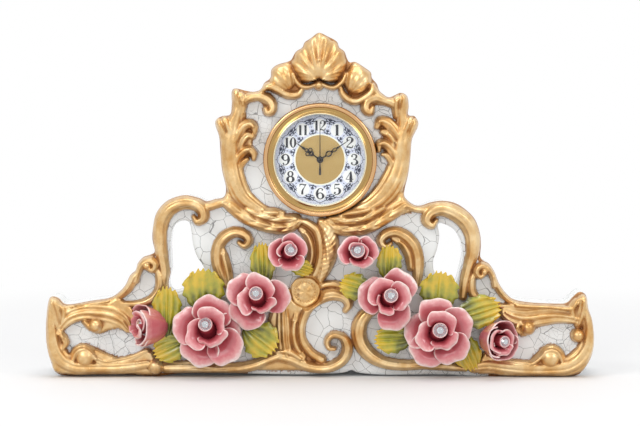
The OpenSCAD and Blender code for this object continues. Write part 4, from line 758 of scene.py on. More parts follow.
back_rim = np.clip(rim_at(*back_places.T), 0, edge_round)
origin = np.array([made[3][v][0] if made[3][v] else -1 for v in range(len(back_places))])
back_rim[(origin >= 0) & (origin < n)] = 0
round_over = edge_round * (1 - rounded(back_rim / edge_round))
back = np.stack([back_places[:, 0], side_depth(back_places[:, 1]) - round_over, back_places[:, 1]], axis=1)


def ring_skin(rings):
    """Points and faces over rings of equally many points; a ring of one point closes to a pole."""
    points, faces, numbers, steps = [], [], [], max(len(ring_places) for ring_places in rings)
    for ring_places in rings:
        numbers.append([len(points) + s % len(ring_places) for s in range(steps + 1)])
        points += [tuple(place) for place in ring_places]
    for low, high in zip(numbers, numbers[1:]):
        for s in range(steps):
            corners = tuple(dict.fromkeys((low[s], low[s + 1], high[s + 1], high[s])))
            if len(corners) > 2:
                faces.append(corners)
    return np.array(points), faces, numbers


def lathe(profile, x, z, steps=96, closed=False):
    """Points and faces of a profile of (radius, back) turned about a line that runs front to back."""
    turn = np.arange(steps) * 2 * np.pi / steps
    rings = [[(x + r * math.cos(t), y, z + r * math.sin(t)) for t in (turn if r > 1e-6 else turn[:1])]
             for r, y in profile]
    points, faces, numbers = ring_skin(rings)
    if closed:
        last, first = numbers[-1], numbers[0]
        faces += [(last[s], last[s + 1], first[s + 1], first[s]) for s in range(steps)]
    return points, faces


collar, collar_faces = lathe([(bore_r, front_y), (bore_r, 0), (bore_r, collar_back - 0.6),
                              (bore_r + 0.6, collar_back), (collar_r - 1.5, collar_back),
                              (collar_r, collar_back - 1.5), (collar_r, slab_back - 0.5)],
                             dial_x, dial_z, 144)
face_points = np.stack([face_x, face_y, face_z], axis=1)
points = np.clip(np.concatenate([face_points, wall, back, collar]), *(1000 * np.array(cad_box)))
wall_from = len(face_points)
back_from = wall_from + len(wall)
collar_from = back_from + len(back)
all_gilding = np.concatenate([np.clip(gilding.ravel(), -gilt_limit, gilt_limit), wall_gilding,
                              np.full(len(back) + len(collar), -gilt_limit)])
all_hollow_wash_and_shade = np.concatenate([hollow_wash_and_shade.ravel(), np.zeros(len(wall) + len(back) + len(collar))])
shell_faces = [squares, wall_faces + wall_from, np.array(collar_faces) + collar_from]
shell_triangles = triangles + back_from

# Places that coincide share a normal, so that no seam shows between the pieces.
_, same = np.unique(np.round(points, 3), axis=0, return_inverse=True)
same = same.ravel()
normals = np.zeros((same.max() + 1, 3))
for faces in [*shell_faces, shell_triangles]:
    q = points[faces]
    across = np.cross(q[:, 2] - q[:, 0], q[:, -1] - q[:, 1])
    for corner in range(faces.shape[1]):
        np.add.at(normals, same[faces[:, corner]], across)
normals = (normals / np.maximum(np.linalg.norm(normals, axis=1, keepdims=True), 1e-12))[same]


def attribute(piece, label, values):
    """Stores a number for each point of a piece, for its material."""
    layer = piece.data.attributes.new(label, "FLOAT", "POINT")
    layer.data.foreach_set("value", np.asarray(values, np.float32))


def case_piece(name, faces, shader):
    """One piece of the case from rows of corner numbers, with its gilding, its hollows for wash and painted
    shade, and normals.
    """
    wanted = np.unique(np.concatenate([rows.ravel() for rows in faces]))
    at_place, number_of, order = {}, {}, []
    for v, p in zip(wanted.tolist(), map(tuple, np.round(points[wanted], 4))):
        if p not in at_place:
            at_place[p] = len(order)
            order.append(v)
        number_of[v] = at_place[p]
    cleaned = []
    for row in (row for rows in faces for row in rows.tolist()):
        corners = [number_of[v] for v in row]
        corners = [v for i, v in enumerate(corners) if v != corners[i - 1]]
        if len(corners) > 2:
            cleaned.append(corners)
    piece = mesh_piece(name, points[order] / 1000, cleaned, shader)
    attribute(piece, "gilding", all_gilding[order])
    attribute(piece, "hollow_wash_and_shade", all_hollow_wash_and_shade[order])
    piece.data.normals_split_custom_set_from_vertices(normals[order].tolist())
    return piece


def group(name, inputs, outputs, kind="Shader"):
    """An empty node group, with its input and output nodes."""
    tree = bpy.data.node_groups.new(name, kind + "NodeTree")
    for label, sort, value in inputs:
        socket = tree.interface.new_socket(label, in_out="INPUT", socket_type="NodeSocket" + sort)
        if value is not None:
            socket.default_value = value
    for label, sort in outputs:
        tree.interface.new_socket(label, in_out="OUTPUT", socket_type="NodeSocket" + sort)
    return tree, tree.nodes.new("NodeGroupInput"), tree.nodes.new("NodeGroupOutput")


def noise(tree, at, scale, detail):
    """A cloudy value between 0 and 1, finer as the scale grows."""
    return put(tree, "TexNoise", {"Vector": at, "Scale": scale, "Detail": detail}).outputs[0]


def stored(tree, label):
    """The number that a piece stores under a label."""
    return put(tree, "Attribute", attribute_name=label).outputs["Fac"]


def bumped(tree, height, strength, distance):
    """Fine relief of a height, with its depth in metres."""
    return put(tree, "Bump", {"Height": height, "Strength": strength, "Distance": distance}).outputs[0]


def ramp(tree, value, stops):
    """A colour ramp through (place, colour) stops."""
    node = put(tree, "ValToRGB", {"Fac": value})
    for i, (where, colour) in enumerate(stops):
        stop = node.color_ramp.elements[i] if i < 2 else node.color_ramp.elements.new(where)
        stop.position, stop.color = where, (*colour, 1.0)
    return node.outputs[0]


# Crackle in the glaze: cells a finger's width across, and finer ones here and there.
crackle, c_in, c_out = group(
    "glaze_crackle", [("Vector", "Vector", None), ("Cells", "Float", 75.0), ("Line", "Float", 0.020)],
    [("Lines", "Float"), ("Relief", "Float")])
at, cells, line_width = c_in.outputs["Vector"], c_in.outputs["Cells"], c_in.outputs["Line"]
sway = put(crackle, "TexNoise", {"Vector": at, "Scale": 60.0, "Detail": 3.0}).outputs["Color"]
swayed = put(crackle, "VectorMath", {0: sway, 1: (0.006, 0.006, 0.006)}, operation="MULTIPLY").outputs[0]
bent = put(crackle, "VectorMath", {0: at, 1: swayed}, operation="ADD").outputs[0]
wide_cells = put(crackle, "TexVoronoi", {"Vector": bent, "Scale": cells}, feature="DISTANCE_TO_EDGE")
fine_cells = put(crackle, "TexVoronoi", {"Vector": bent, "Scale": calc(crackle, "MULTIPLY", cells, 2.1)},
                 feature="DISTANCE_TO_EDGE")
wide_line = ranged(crackle, wide_cells.outputs[0], 0.0, line_width, 1.0, 0.0)
fine_line = ranged(crackle, fine_cells.outputs[0], 0.0, line_width, 0.7, 0.0)
where_fine = ranged(crackle, noise(crackle, at, 14.0, 1.0), 0.5, 0.62)
lines = calc(crackle, "MAXIMUM", wide_line, calc(crackle, "MULTIPLY", fine_line, where_fine))
sunk = calc(crackle, "SUBTRACT", noise(crackle, at, 35.0, 2.0), lines)
fill(crackle, c_out, {"Lines": lines, "Relief": sunk})

# Fired gold: a warm satin film that wanders at its painted edge. It turns brown in its hollows and
# near its painted edge, partly as antique wash and partly as painted shade.
fired_gold, g_in, g_out = group(
    "fired_gold", [("Vector", "Vector", None), ("Edge", "Float", 2.0), ("Hollow", "Float", 0.0)],
    [("Colour", "Color"), ("Mask", "Float"), ("Roughness", "Float"), ("Relief", "Float")])
at, edge, deep = g_in.outputs["Vector"], g_in.outputs["Edge"], g_in.outputs["Hollow"]
brush = noise(fired_gold, at, 260.0, 3.0)
drift = noise(fired_gold, at, 38.0, 3.0)
leafing = put(fired_gold, "TexNoise", {"Vector": at, "Scale": 115.0, "Detail": 4.0, "Roughness": 0.6})
patchy = calc(fired_gold, "MULTIPLY", calc(fired_gold, "ADD", drift, leafing.outputs[0]), 0.5)
shade = ramp(fired_gold, patchy,
             [(0.36, (0.58, 0.315, 0.100)), (0.50, (0.70, 0.455, 0.200)), (0.64, (0.82, 0.610, 0.330))])
# Brown in the hollows and near the painted edge: partly antique wash, partly painted shade.
lowest = calc(fired_gold, "ADD", deep, ranged(fired_gold, edge, 0.2, 1.5, 0.42, 0.0))
hollow = calc(fired_gold, "MULTIPLY_ADD", drift, 0.5, lowest)
brown_wash_and_shade = ranged(fired_gold, hollow, 0.34, 0.95, 0.0, 0.90, "SMOOTHSTEP")
satin = ranged(fired_gold, brush, 0.3, 0.7, 0.27, 0.42)
wander = calc(fired_gold, "MULTIPLY_ADD", brush, 1.3, edge)
fill(fired_gold, g_out, {
    "Colour": mixed(fired_gold, brown_wash_and_shade, shade, (0.36, 0.155, 0.048, 1)),
    "Mask": ranged(fired_gold, wander, 0.6, 0.95, kind="SMOOTHSTEP"),
    "Roughness": calc(fired_gold, "MULTIPLY_ADD", brown_wash_and_shade, 0.25, satin), "Relief": brush})

porcelain, tree, shader, at = material("white_glaze_and_gold")
crazed = put(tree, "Group", {"Vector": at}, node_tree=crackle).outputs
gold = put(tree, "Group", {"Vector": at, "Edge": stored(tree, "gilding"), "Hollow": stored(tree, "hollow_wash_and_shade")},
           node_tree=fired_gold).outputs
white = mixed(tree, noise(tree, at, 9.0, 2.0), (0.80, 0.83, 0.83, 1), (0.87, 0.885, 0.88, 1))
glaze = mixed(tree, calc(tree, "MULTIPLY", crazed["Lines"], 0.92), white, (0.09, 0.09, 0.09, 1))
skin = ranged(tree, gold["Mask"], to_min=crazed["Relief"], to_max=gold["Relief"])
fill(tree, shader, {
    "Base Color": mixed(tree, gold["Mask"], glaze, gold["Colour"]),
    "Metallic": calc(tree, "MULTIPLY", gold["Mask"], 0.80),
    "Roughness": ranged(tree, gold["Mask"], to_min=0.10, to_max=gold["Roughness"]),
    "Normal": bumped(tree, skin, 0.25, 0.0006), "Coat Weight": 0.25, "Coat Roughness": 0.08})

square_x = face_x[squares].mean(axis=1)
square_z = face_z[squares].mean(axis=1)
crest_foot, crest_half, centre_half = 149, 97, 52
crest_part = (square_z > crest_foot) & (np.abs(square_x) < crest_half)
left_part = ~crest_part & (square_x < -centre_half)
right_part = ~crest_part & (square_x > centre_half)
face_parts = [
    ("case_crest", crest_part, ["shell_crest", "crest_gilding_left", "crest_gilding_right"]),
    ("case_left", left_part, ["arm_gilding_left", "base_gilding_left"]),
    ("case_right", right_part, ["arm_gilding_right", "base_gilding_right"]),
    ("case_centre", ~(crest_part | left_part | right_part), ["centre_gilding"]),
]
for name, wanted, nodes in face_parts:
    piece = case_piece(name, [squares[wanted]], porcelain)
    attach(piece, "case")
    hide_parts(*nodes)
piece = case_piece("case_back", [shell_faces[1], shell_faces[2], shell_triangles], porcelain)
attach(piece, "case")
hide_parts("case_body")


# ================================================================ roses
# Eight hand-made roses stand on stalks on the face. Each is rolled from soft porcelain, one petal
# after another round a small tube, then fired, sprayed pink from the hollows and wiped at the rims. Their
# colour also holds painted shade, darkest in the hollows near the heart, and a painted highlight on the
# rolled rims.

# Petals as (direction, half spread, reach at its clockwise end, middle and other end, root, low,
# top, roll): angles in degrees anticlockwise from the right, reaches and roots as shares of the
# rose's radius, heights and the roll of the rim as shares of its stand.
large_left = [
    (5, 36, 0.70, 0.93, 0.80, 0.24, 0.30, 0.50, 0.05),
    (165, 44, 0.80, 1.00, 0.86, 0.24, 0.32, 0.60, 0.08), (75, 52, 0.72, 0.97, 0.80, 0.24, 0.34, 0.62, 0.06),
    (245, 47, 0.80, 1.05, 0.84, 0.24, 0.30, 0.60, 0.10), (-43, 42, 0.90, 1.13, 0.86, 0.24, 0.34, 0.70, 0.09),
    (188, 62, 0.44, 0.62, 0.68, 0.22, 0.42, 0.88, 0.05), (52, 60, 0.40, 0.64, 0.72, 0.22, 0.46, 0.98, 0.03),
    (291, 64, 0.42, 0.46, 0.66, 0.22, 0.44, 0.94, 0.13),
]
mid_left = [
    (145, 44, 0.82, 1.10, 0.95, 0.24, 0.30, 0.56, 0.08), (8, 46, 0.78, 1.06, 0.84, 0.24, 0.34, 0.64, 0.08),
    (232, 52, 0.90, 1.07, 0.80, 0.24, 0.30, 0.62, 0.10),
    (60, 62, 0.38, 0.76, 0.98, 0.22, 0.42, 0.86, 0.05), (178, 52, 0.60, 0.70, 0.74, 0.22, 0.42, 0.80, 0.05),
    (298, 64, 0.40, 0.45, 0.66, 0.22, 0.44, 0.94, 0.13),
]
top_left = [
    (172, 60, 0.88, 1.03, 0.92, 0.28, 0.34, 0.78, 0.05), (42, 64, 0.86, 1.05, 0.94, 0.28, 0.34, 0.86, 0.05),
    (282, 58, 0.72, 0.94, 1.00, 0.30, 0.34, 0.84, 0.12), (110, 80, 0.55, 0.62, 0.52, 0.30, 0.40, 0.92, 0.03),
]
large_right = [
    (172, 42, 0.78, 0.97, 0.82, 0.24, 0.28, 0.48, 0.06),
    (92, 44, 0.76, 1.00, 0.86, 0.24, 0.34, 0.62, 0.07), (20, 46, 0.72, 1.03, 0.82, 0.24, 0.32, 0.58, 0.08),
    (240, 46, 0.82, 1.03, 0.80, 0.24, 0.30, 0.58, 0.09), (-50, 44, 0.80, 1.00, 0.92, 0.24, 0.34, 0.70, 0.10),
    (182, 60, 0.44, 0.64, 0.66, 0.22, 0.42, 0.86, 0.06), (66, 64, 0.44, 0.66, 0.54, 0.22, 0.46, 0.96, 0.05),
    (-62, 60, 0.42, 0.50, 0.66, 0.22, 0.44, 0.92, 0.14),
]
mid_right = [
    (48, 48, 0.86, 1.09, 0.86, 0.24, 0.32, 0.58, 0.08), (165, 56, 0.78, 1.00, 0.78, 0.24, 0.30, 0.56, 0.08),
    (-68, 48, 0.86, 1.06, 0.80, 0.24, 0.32, 0.62, 0.09),
    (8, 56, 0.54, 0.77, 0.72, 0.22, 0.42, 0.82, 0.07), (128, 66, 0.62, 0.74, 0.60, 0.22, 0.44, 0.86, 0.06),
    (226, 64, 0.36, 0.42, 0.64, 0.22, 0.44, 0.94, 0.12),
]
top_right = [
    (150, 68, 0.82, 0.97, 0.90, 0.28, 0.34, 0.84, 0.05), (22, 54, 0.90, 1.04, 0.88, 0.28, 0.34, 0.80, 0.05),
    (-82, 58, 0.58, 0.70, 1.05, 0.30, 0.36, 0.90, 0.10), (60, 84, 0.52, 0.58, 0.52, 0.30, 0.40, 0.92, 0.02),
]
left_bud = [
    (100, 68, 0.84, 1.06, 0.92, 0.34, 0.10, 0.86, 0.04), (-118, 76, 0.92, 1.08, 0.94, 0.34, 0.08, 0.76, 0.05),
    (-14, 70, 0.92, 1.06, 0.90, 0.34, 0.10, 1.00, 0.02), (-66, 66, 0.52, 0.66, 0.60, 0.26, 0.34, 1.04, 0.14),
    (150, 64, 0.62, 0.80, 0.68, 0.28, 0.30, 0.92, 0.06), (40, 64, 0.60, 0.76, 0.66, 0.28, 0.32, 1.00, 0.05),
]
right_bud = [
    (180, 62, 0.84, 1.02, 0.88, 0.34, 0.10, 0.99, 0.03), (64, 70, 0.88, 1.05, 0.94, 0.34, 0.10, 0.88, 0.05),
    (-62, 70, 0.92, 1.06, 0.90, 0.34, 0.10, 0.84, 0.06), (20, 74, 0.60, 0.68, 0.60, 0.28, 0.30, 0.90, 0.02),
    (168, 66, 0.58, 0.84, 0.74, 0.28, 0.30, 0.98, 0.08), (-96, 62, 0.62, 0.78, 0.66, 0.28, 0.32, 0.90, 0.08),
]
roses = [
    # node, petals, size of its box that the petals fill, where its stone sits (right, up), stone's
    # size in mm, degrees that it faces to the right and up
    ("rose_large_left", large_left, 1.16, (-0.06, 0.18), 5.2, 0, 4),
    ("rose_mid_left", mid_left, 1.11, (-0.09, 0.22), 5.1, 3, 4),
    ("rose_top_left", top_left, 1.12, (0.14, 0.17), 4.7, 3, 4),
    ("rose_bud_left", left_bud, 1.10, (-0.04, 0.06), 3.6, -54, 6),
    ("rose_large_right", large_right, 1.14, (0.04, 0.09), 5.6, 0, 4),
    ("rose_mid_right", mid_right, 1.11, (0.11, 0.13), 5.2, -2, 4),
    ("rose_top_right", top_right, 1.16, (0.0, 0.17), 5.6, -2, 4),
    ("rose_bud_right", right_bud, 1.06, (0.12, -0.04), 4.2, 27, 0),
]


def petal(direction, spread, clockwise, middle, anticlockwise, root, low, top, roll, radius, stand):
    """One petal as a grid of (right, up, out) places, with how near each is to the pale rim."""
    u, v = np.meshgrid(np.linspace(-1, 1, 19), np.linspace(0, 1, 12))
    corner = 1 - 0.14 * (np.clip(v - 0.62, 0, 1) / 0.38) ** 2
    widen = (0.74 + 0.26 * np.sin(np.pi / 2 * np.clip(1.5 * v, 0, 1))) * corner
    turn = np.radians(direction + 1.20 * spread * u * widen)
    span = (anticlockwise + clockwise) / 2 - middle
    far = middle + (anticlockwise - clockwise) / 2 * u + span * np.abs(u) ** 2.8
    far += 0.026 * np.sin(6.5 * u + direction) + 0.020 * np.sin(11 * u + 2 * direction)
    edge = v * (1 - 0.20 * np.abs(u) ** 5)
    cupped = low < 0.2
    steep = 0.50 if cupped else 1.55 if middle < 0.8 else 1.15
    r = radius * (root + (far - root) * edge**steep)
    curled = np.clip((edge - 0.70) / 0.30, 0, 1) ** 2
    rise = np.sin(np.pi / 2 * edge) ** (1.5 if cupped else 0.80)
    out = stand * (low + (top - low) * rise - roll * curled + 0.05 * v * (u**2 - 0.3)
                   + 0.018 * np.sin(4.2 * u + 0.5 * direction) * v**2 + 0.06 * u * v)
    r += radius * 0.28 * roll * curled
    # Paler towards the rim, and more so where it rolls back: partly the glaze, partly a painted highlight.
    pale = 0.40 + 0.60 * v if cupped else v
    rim = np.clip(np.maximum(pale, np.abs(u) ** 6 * np.clip(2.2 * v, 0, 1)) + 0.9 * roll * curled, 0, 1.1)
    return np.stack([r * np.cos(turn), r * np.sin(turn), out], axis=-1), rim


def grid_faces(rows, columns, start):
    """Squares between the rows and columns of a grid of points."""
    return [(start + r * columns + c, start + (r + 1) * columns + c, start + (r + 1) * columns + c + 1,
             start + r * columns + c + 1) for r in range(rows - 1) for c in range(columns - 1)]


def facing(to_right, upwards):
    """The right, up and outward directions of a flower turned from the front."""
    a, b = math.radians(to_right), math.radians(upwards)
    out = np.array([math.sin(a) * math.cos(b), -math.cos(a) * math.cos(b), math.sin(b)])
    right = np.array([math.cos(a), math.sin(a), 0.0])
    return right, np.cross(out, right), out


# Deep pink at the heart to pale at the rims: the glaze's own pink, with painted shade in the hollows and a
# painted highlight on the rims.
rose_glaze, tree, shader, at = material("pink_rose_glaze")
mottle = noise(tree, at, 190.0, 4.0)
pink_shade_and_highlight = ranged(tree, calc(tree, "MULTIPLY_ADD", mottle, 0.30, stored(tree, "rim")), 0.1, 1.22)
fill(tree, shader, {
    "Base Color": ramp(tree, pink_shade_and_highlight, [(0.05, (0.20, 0.016, 0.028)), (0.36, (0.41, 0.058, 0.076)),
                                     (0.70, (0.59, 0.150, 0.168)), (0.86, (0.74, 0.34, 0.34)),
                                     (1.0, (0.92, 0.79, 0.75))]),
    "Roughness": ranged(tree, mottle, to_min=0.12, to_max=0.26),
    "Normal": bumped(tree, mottle, 0.12, 0.0008), "Coat Weight": 0.5, "Coat Roughness": 0.06})


def thickened(piece, thickness):
    """Gives a sheet its thickness behind its face, and rounds it."""
    sheet = piece.modifiers.new("thickness", "SOLIDIFY")
    sheet.thickness, sheet.offset = thickness, -1.0
    soften = piece.modifiers.new("rounding", "SUBSURF")
    soften.levels = soften.render_levels = 1


rose_front = front_y / 1000
gem_places = []
for node, petals, fullness, (stone_x, stone_z), stone_mm, to_right, upwards in roses:
    low_corner, high_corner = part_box(node)
    radius = (high_corner[2] - low_corner[2]) / 2 * fullness
    stand = rose_front - low_corner[1]
    axes = np.stack(facing(to_right, upwards))
    lean = 0.62 * stand * axes[2] * np.array([1, 0, 1])
    box_middle = [(low_corner[0] + high_corner[0]) / 2, rose_front, (low_corner[2] + high_corner[2]) / 2]
    middle = np.array(box_middle) - lean
    places, faces, rims = [], [], []
    for p in petals:
        grid, rim_share = petal(*p, radius, stand)
        faces += grid_faces(*grid.shape[:2], sum(len(q) for q in places))
        places.append(grid.reshape(-1, 3))
        rims.append(rim_share.ravel())
    petal_points = middle + np.concatenate(places) @ axes
    flower = mesh_piece(node.replace("rose", "petals"), petal_points, faces, rose_glaze)
    attribute(flower, "rim", np.concatenate(rims))
    thickened(flower, 0.0011 + 0.018 * radius)
    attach(flower, "case")

    # The heart: a solid body behind the petals, and a tube with a rounded pale lip for its stone.
    gem_r, seat, cup = stone_mm / 1000, 0.84 * stand, 0.30 * radius + 0.001
    heart = [(0.0, 0.0, 0.2, 0), (0.30 * radius, 0.0, 0.2, 0), (0.32 * radius, 0.26 * stand, 0.2, 0),
             (0.50 * radius, 0.34 * stand, 0.25, 0), (0.40 * radius, 0.44 * stand, 0.1, 0),
             (cup, 0.50 * stand, 0.0, 0.1), (gem_r + 0.0016, 0.62 * stand, 0.1, 0.5),
             (gem_r + 0.0013, seat - 0.0018, 0.45, 0.95), (gem_r + 0.0013, seat - 0.0002, 0.85, 1),
             (gem_r + 0.0009, seat + 0.0006, 1.0, 1), (gem_r + 0.0003, seat + 0.0005, 1.0, 1),
             (gem_r, seat - 0.0010, 0.6, 1), (0.0, seat - 0.0012, 0.6, 1)]
    turn = np.arange(40) * 2 * np.pi / 40
    rings = [[(r * math.cos(t) + bent * stone_x * radius, r * math.sin(t) + bent * stone_z * radius, h)
              for t in (turn if r > 0 else turn[:1])] for r, h, _, bent in heart]
    heart_places, faces, _ = ring_skin(rings)
    heart_piece = mesh_piece(node.replace("rose", "heart"), middle + heart_places @ axes, faces, rose_glaze)
    attribute(heart_piece, "rim", [row[2] for row, places_here in zip(heart, rings) for _ in places_here])
    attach(heart_piece, "case")
    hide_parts(node)
    stone_at = np.array([stone_x * radius, stone_z * radius, seat - 0.0008])
    gem_places.append((middle + stone_at @ axes, gem_r, axes[2]))


# ================================================================ rhinestones
# A round cut-glass stone is cemented in the heart of each rose. It has a flat table, a crown of
# facets and a silvered back, and it looks bright and broken up rather than clear: its colour holds painted
# glints.

stone_glass, tree, shader, at = material("silvered_cut_glass")
# White flecks with grey between them in the stone's colour are painted glints.
glint_cells = put(tree, "TexVoronoi", {"Vector": at, "Scale": 700.0})
painted_glint = ranged(tree, glint_cells.outputs["Distance"], from_max=0.6)
fill(tree, shader, {
    "Base Color": ramp(tree, painted_glint, [(0.20, (1.0, 1.0, 1.0)), (0.60, (0.52, 0.54, 0.57))]),
    "Metallic": 0.75, "Roughness": 0.06, "Coat Weight": 1.0, "Coat Roughness": 0.02})


def grow(tree, kind, inputs=None, **settings):
    """What a geometry node with its settings and inputs gives out first."""
    return put(tree, kind if "Node" in kind else "GeometryNode" + kind, inputs, **settings).outputs[0]


gem_cut, gem_in, gem_out = group(
    "cut_stone", [("Geometry", "Geometry", None), ("Facets", "Int", 10), ("Material", "Material", None)],
    [("Geometry", "Geometry")], "Geometry")
facets = gem_in.outputs["Facets"]
crown = grow(gem_cut, "MeshCone", {"Vertices": facets, "Radius Top": 0.58, "Radius Bottom": 0.92,
                                   "Depth": 0.42}, fill_type="NGON")
girdle = grow(gem_cut, "MeshCone", {"Vertices": facets, "Radius Top": 1.0, "Radius Bottom": 1.0,
                                    "Depth": 0.12}, fill_type="NGON")
raised = grow(gem_cut, "Transform", {"Geometry": crown, "Translation": (0, 0, 0.1),
                                     "Rotation": (0, 0, math.pi / 10)})
aim_read = grow(gem_cut, "InputNamedAttribute", {"Name": "stone_facing"}, data_type="FLOAT_VECTOR")
set_stones = grow(gem_cut, "InstanceOnPoints", {
    "Points": gem_in.outputs["Geometry"],
    "Instance": grow(gem_cut, "JoinGeometry", {"Geometry": [girdle, raised]}),
    "Rotation": grow(gem_cut, "FunctionNodeAlignRotationToVector", {"Vector": aim_read}, axis="Z"),
    "Scale": grow(gem_cut, "InputNamedAttribute", {"Name": "stone_size"}, data_type="FLOAT")})
real_stones = grow(gem_cut, "RealizeInstances", {"Geometry": set_stones})
flat_stones = grow(gem_cut, "SetShadeSmooth", {0: real_stones, 2: False})
fill(gem_cut, gem_out, {"Geometry": grow(gem_cut, "SetMaterial", {
    "Geometry": flat_stones, "Material": gem_in.outputs["Material"]})})


def grown(piece, tree, settings, name):
    """A plain mesh made by a geometry tree on an object, which is then removed."""
    modifier = piece.modifiers.new("growth", "NODES")
    modifier.node_group = tree
    for label, value in settings.items():
        modifier[tree.interface.items_tree[label].identifier] = value
    evaluated = piece.evaluated_get(bpy.context.evaluated_depsgraph_get())
    mesh = bpy.data.meshes.new_from_object(evaluated)
    mesh.name = name
    made = bpy.data.objects.new(name, mesh)
    bpy.context.collection.objects.link(made)
    piece.modifiers.remove(modifier)
    bpy.data.objects.remove(piece)
    return made


seats = mesh_piece("stone_seats", [p for p, _, _ in gem_places], [], stone_glass)
attribute(seats, "stone_size", [r for _, r, _ in gem_places])
aim = seats.data.attributes.new("stone_facing", "FLOAT_VECTOR", "POINT")
aim.data.foreach_set("vector", np.concatenate([a for _, _, a in gem_places]).astype(np.float32))
stones = grown(seats, gem_cut, {"Facets": 12, "Material": stone_glass}, "cut_stones")
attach(stones, "case")
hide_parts("rhinestones")


# ================================================================ leaves
# Pleated porcelain leaves lie between the roses, pressed from thin slabs, their ends cut to a saw
# edge with a knife. They are glazed yellow at the tips and deep green towards the stalks, and
# their pleats carry painted shade in the valleys and painted light on the ridges.

leaf_thickness, leaf_stand, pleat_depth = 0.0015, 0.0125, 0.0006
leaves = [
    # node, rose that it lies beside, root from that rose's middle (right, up), direction, reach,
    # half width and lift of its tip, in mm and degrees
    ("leaf_a", "rose_bud_left", (18, -11), 89, 48, 13.5, 3),
    ("leaf_b", "rose_large_left", (-4, 14), 91, 42, 19.0, 3),
    ("leaf_c", "rose_mid_left", (4, 10), 91, 42, 11.5, 2),
    ("leaf_d", "rose_large_left", (-18, -10), 203, 35, 13.5, 1),
    ("leaf_e", "rose_mid_left", (-13, -26), -38, 36, 17.0, 1),
    ("leaf_f", "rose_top_left", (0, -10), -18, 24, 8.0, -2),
    ("leaf_g", "rose_mid_right", (1, 15), 88, 34, 11.5, 2),
    ("leaf_h", "rose_mid_right", (-14, 6), 164, 31, 12.5, 2),
    ("leaf_i", "rose_large_right", (0, 16), 86, 40, 17.5, 3),
    ("leaf_j", "rose_large_right", (15, 11), 17, 45, 15.0, 2),
    ("leaf_k", "rose_large_right", (-22, -6), 182, 36, 13.5, 1),
    ("leaf_l", "rose_large_right", (18, 0), -66, 40, 13.0, -3),
]

leaf_glaze, tree, shader, at = material("yellow_green_leaf_glaze")
blotch = noise(tree, at, 75.0, 4.0)
# Each pleat is painted darker in its valley and lighter on its ridge, as shade and light.
tone_and_pleat_shade = calc(tree, "MULTIPLY_ADD", stored(tree, "pleat_shade"), 0.11, stored(tree, "along"))
tone = ranged(tree, calc(tree, "MULTIPLY_ADD", blotch, 1.5, tone_and_pleat_shade), 0.55, 1.95)
fill(tree, shader, {
    "Base Color": ramp(tree, tone, [(0.0, (0.035, 0.040, 0.006)), (0.26, (0.16, 0.17, 0.018)),
                                    (0.50, (0.40, 0.38, 0.035)), (0.74, (0.66, 0.47, 0.032)),
                                    (1.0, (0.76, 0.50, 0.045))]),
    "Roughness": ranged(tree, blotch, to_min=0.12, to_max=0.30),
    "Normal": bumped(tree, noise(tree, at, 420.0, 2.0), 0.3, 0.0005),
    "Coat Weight": 0.6, "Coat Roughness": 0.07})

for node, stem, (root_x, root_z), direction, reach, half, lift in leaves:
    low_corner, high_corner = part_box(stem)
    stem_x = (low_corner[0] + high_corner[0]) / 2 + root_x / 1000
    stem_z = (low_corner[2] + high_corner[2]) / 2 + root_z / 1000
    length = reach / 1000
    u, s = np.meshgrid(np.linspace(-1, 1, 57), np.linspace(0, 1, 25))
    pleat = np.cos(np.pi * 5.0 * np.abs(u) ** 0.85 + 0.5 * np.sin(3 * s + direction))
    width = half / 1000 * np.interp(s, [0, 0.12, 0.3, 0.5, 0.7, 0.88, 1],
                                    [0.22, 0.50, 0.80, 0.97, 1.0, 0.92, 0.74])
    teeth = 1 + 0.10 * (1 - 2 * np.mod(3.5 * s + 0.4, 1)) * np.clip(4 * s, 0, 1) * np.abs(u) ** 4
    end = np.mod(3.0 * (u + 1) + 0.25, 1)
    x = length * s * (1 - 0.16 * u**2 - 0.075 * s**3 * end + 0.012 * pleat)
    y = width * teeth * u
    out = (leaf_stand + pleat_depth * pleat * np.clip(4 * s, 0, 1) - 0.0016 * np.abs(u) ** 2.5
           + 0.0010 * np.exp(-(u / 0.08) ** 2) * (1 - s) + 0.001 * lift * s**2
           + 0.0012 * np.sin(2.4 * u + direction) * s)
    a = math.radians(direction)
    places = np.stack([stem_x + x * math.cos(a) - y * math.sin(a), rose_front - out,
                       stem_z + x * math.sin(a) + y * math.cos(a)], axis=-1)
    blade = mesh_piece(node.replace("leaf", "leaf_blade"), places.reshape(-1, 3),
                       grid_faces(*u.shape, 0), leaf_glaze)
    attribute(blade, "along", (s * (1 - 0.15 * np.abs(u))).ravel())
    attribute(blade, "pleat_shade", pleat.ravel())
    thickened(blade, leaf_thickness)
    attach(blade, "case")
    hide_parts(node)


# ================================================================ medallion
# A small pressed seal of gilt porcelain is stuck over the joint of the scrolls. Its face holds
# a ring of beads round a plain rosette.

def joined(shapes):
    """Several meshes as one."""
    places, faces = [], []
    for more_places, more_faces in shapes:
        base = sum(len(q) for q in places)
        places.append(np.asarray(more_places, float))
        faces += [tuple(base + v for v in f) for f in more_faces]
    return np.concatenate(places), faces


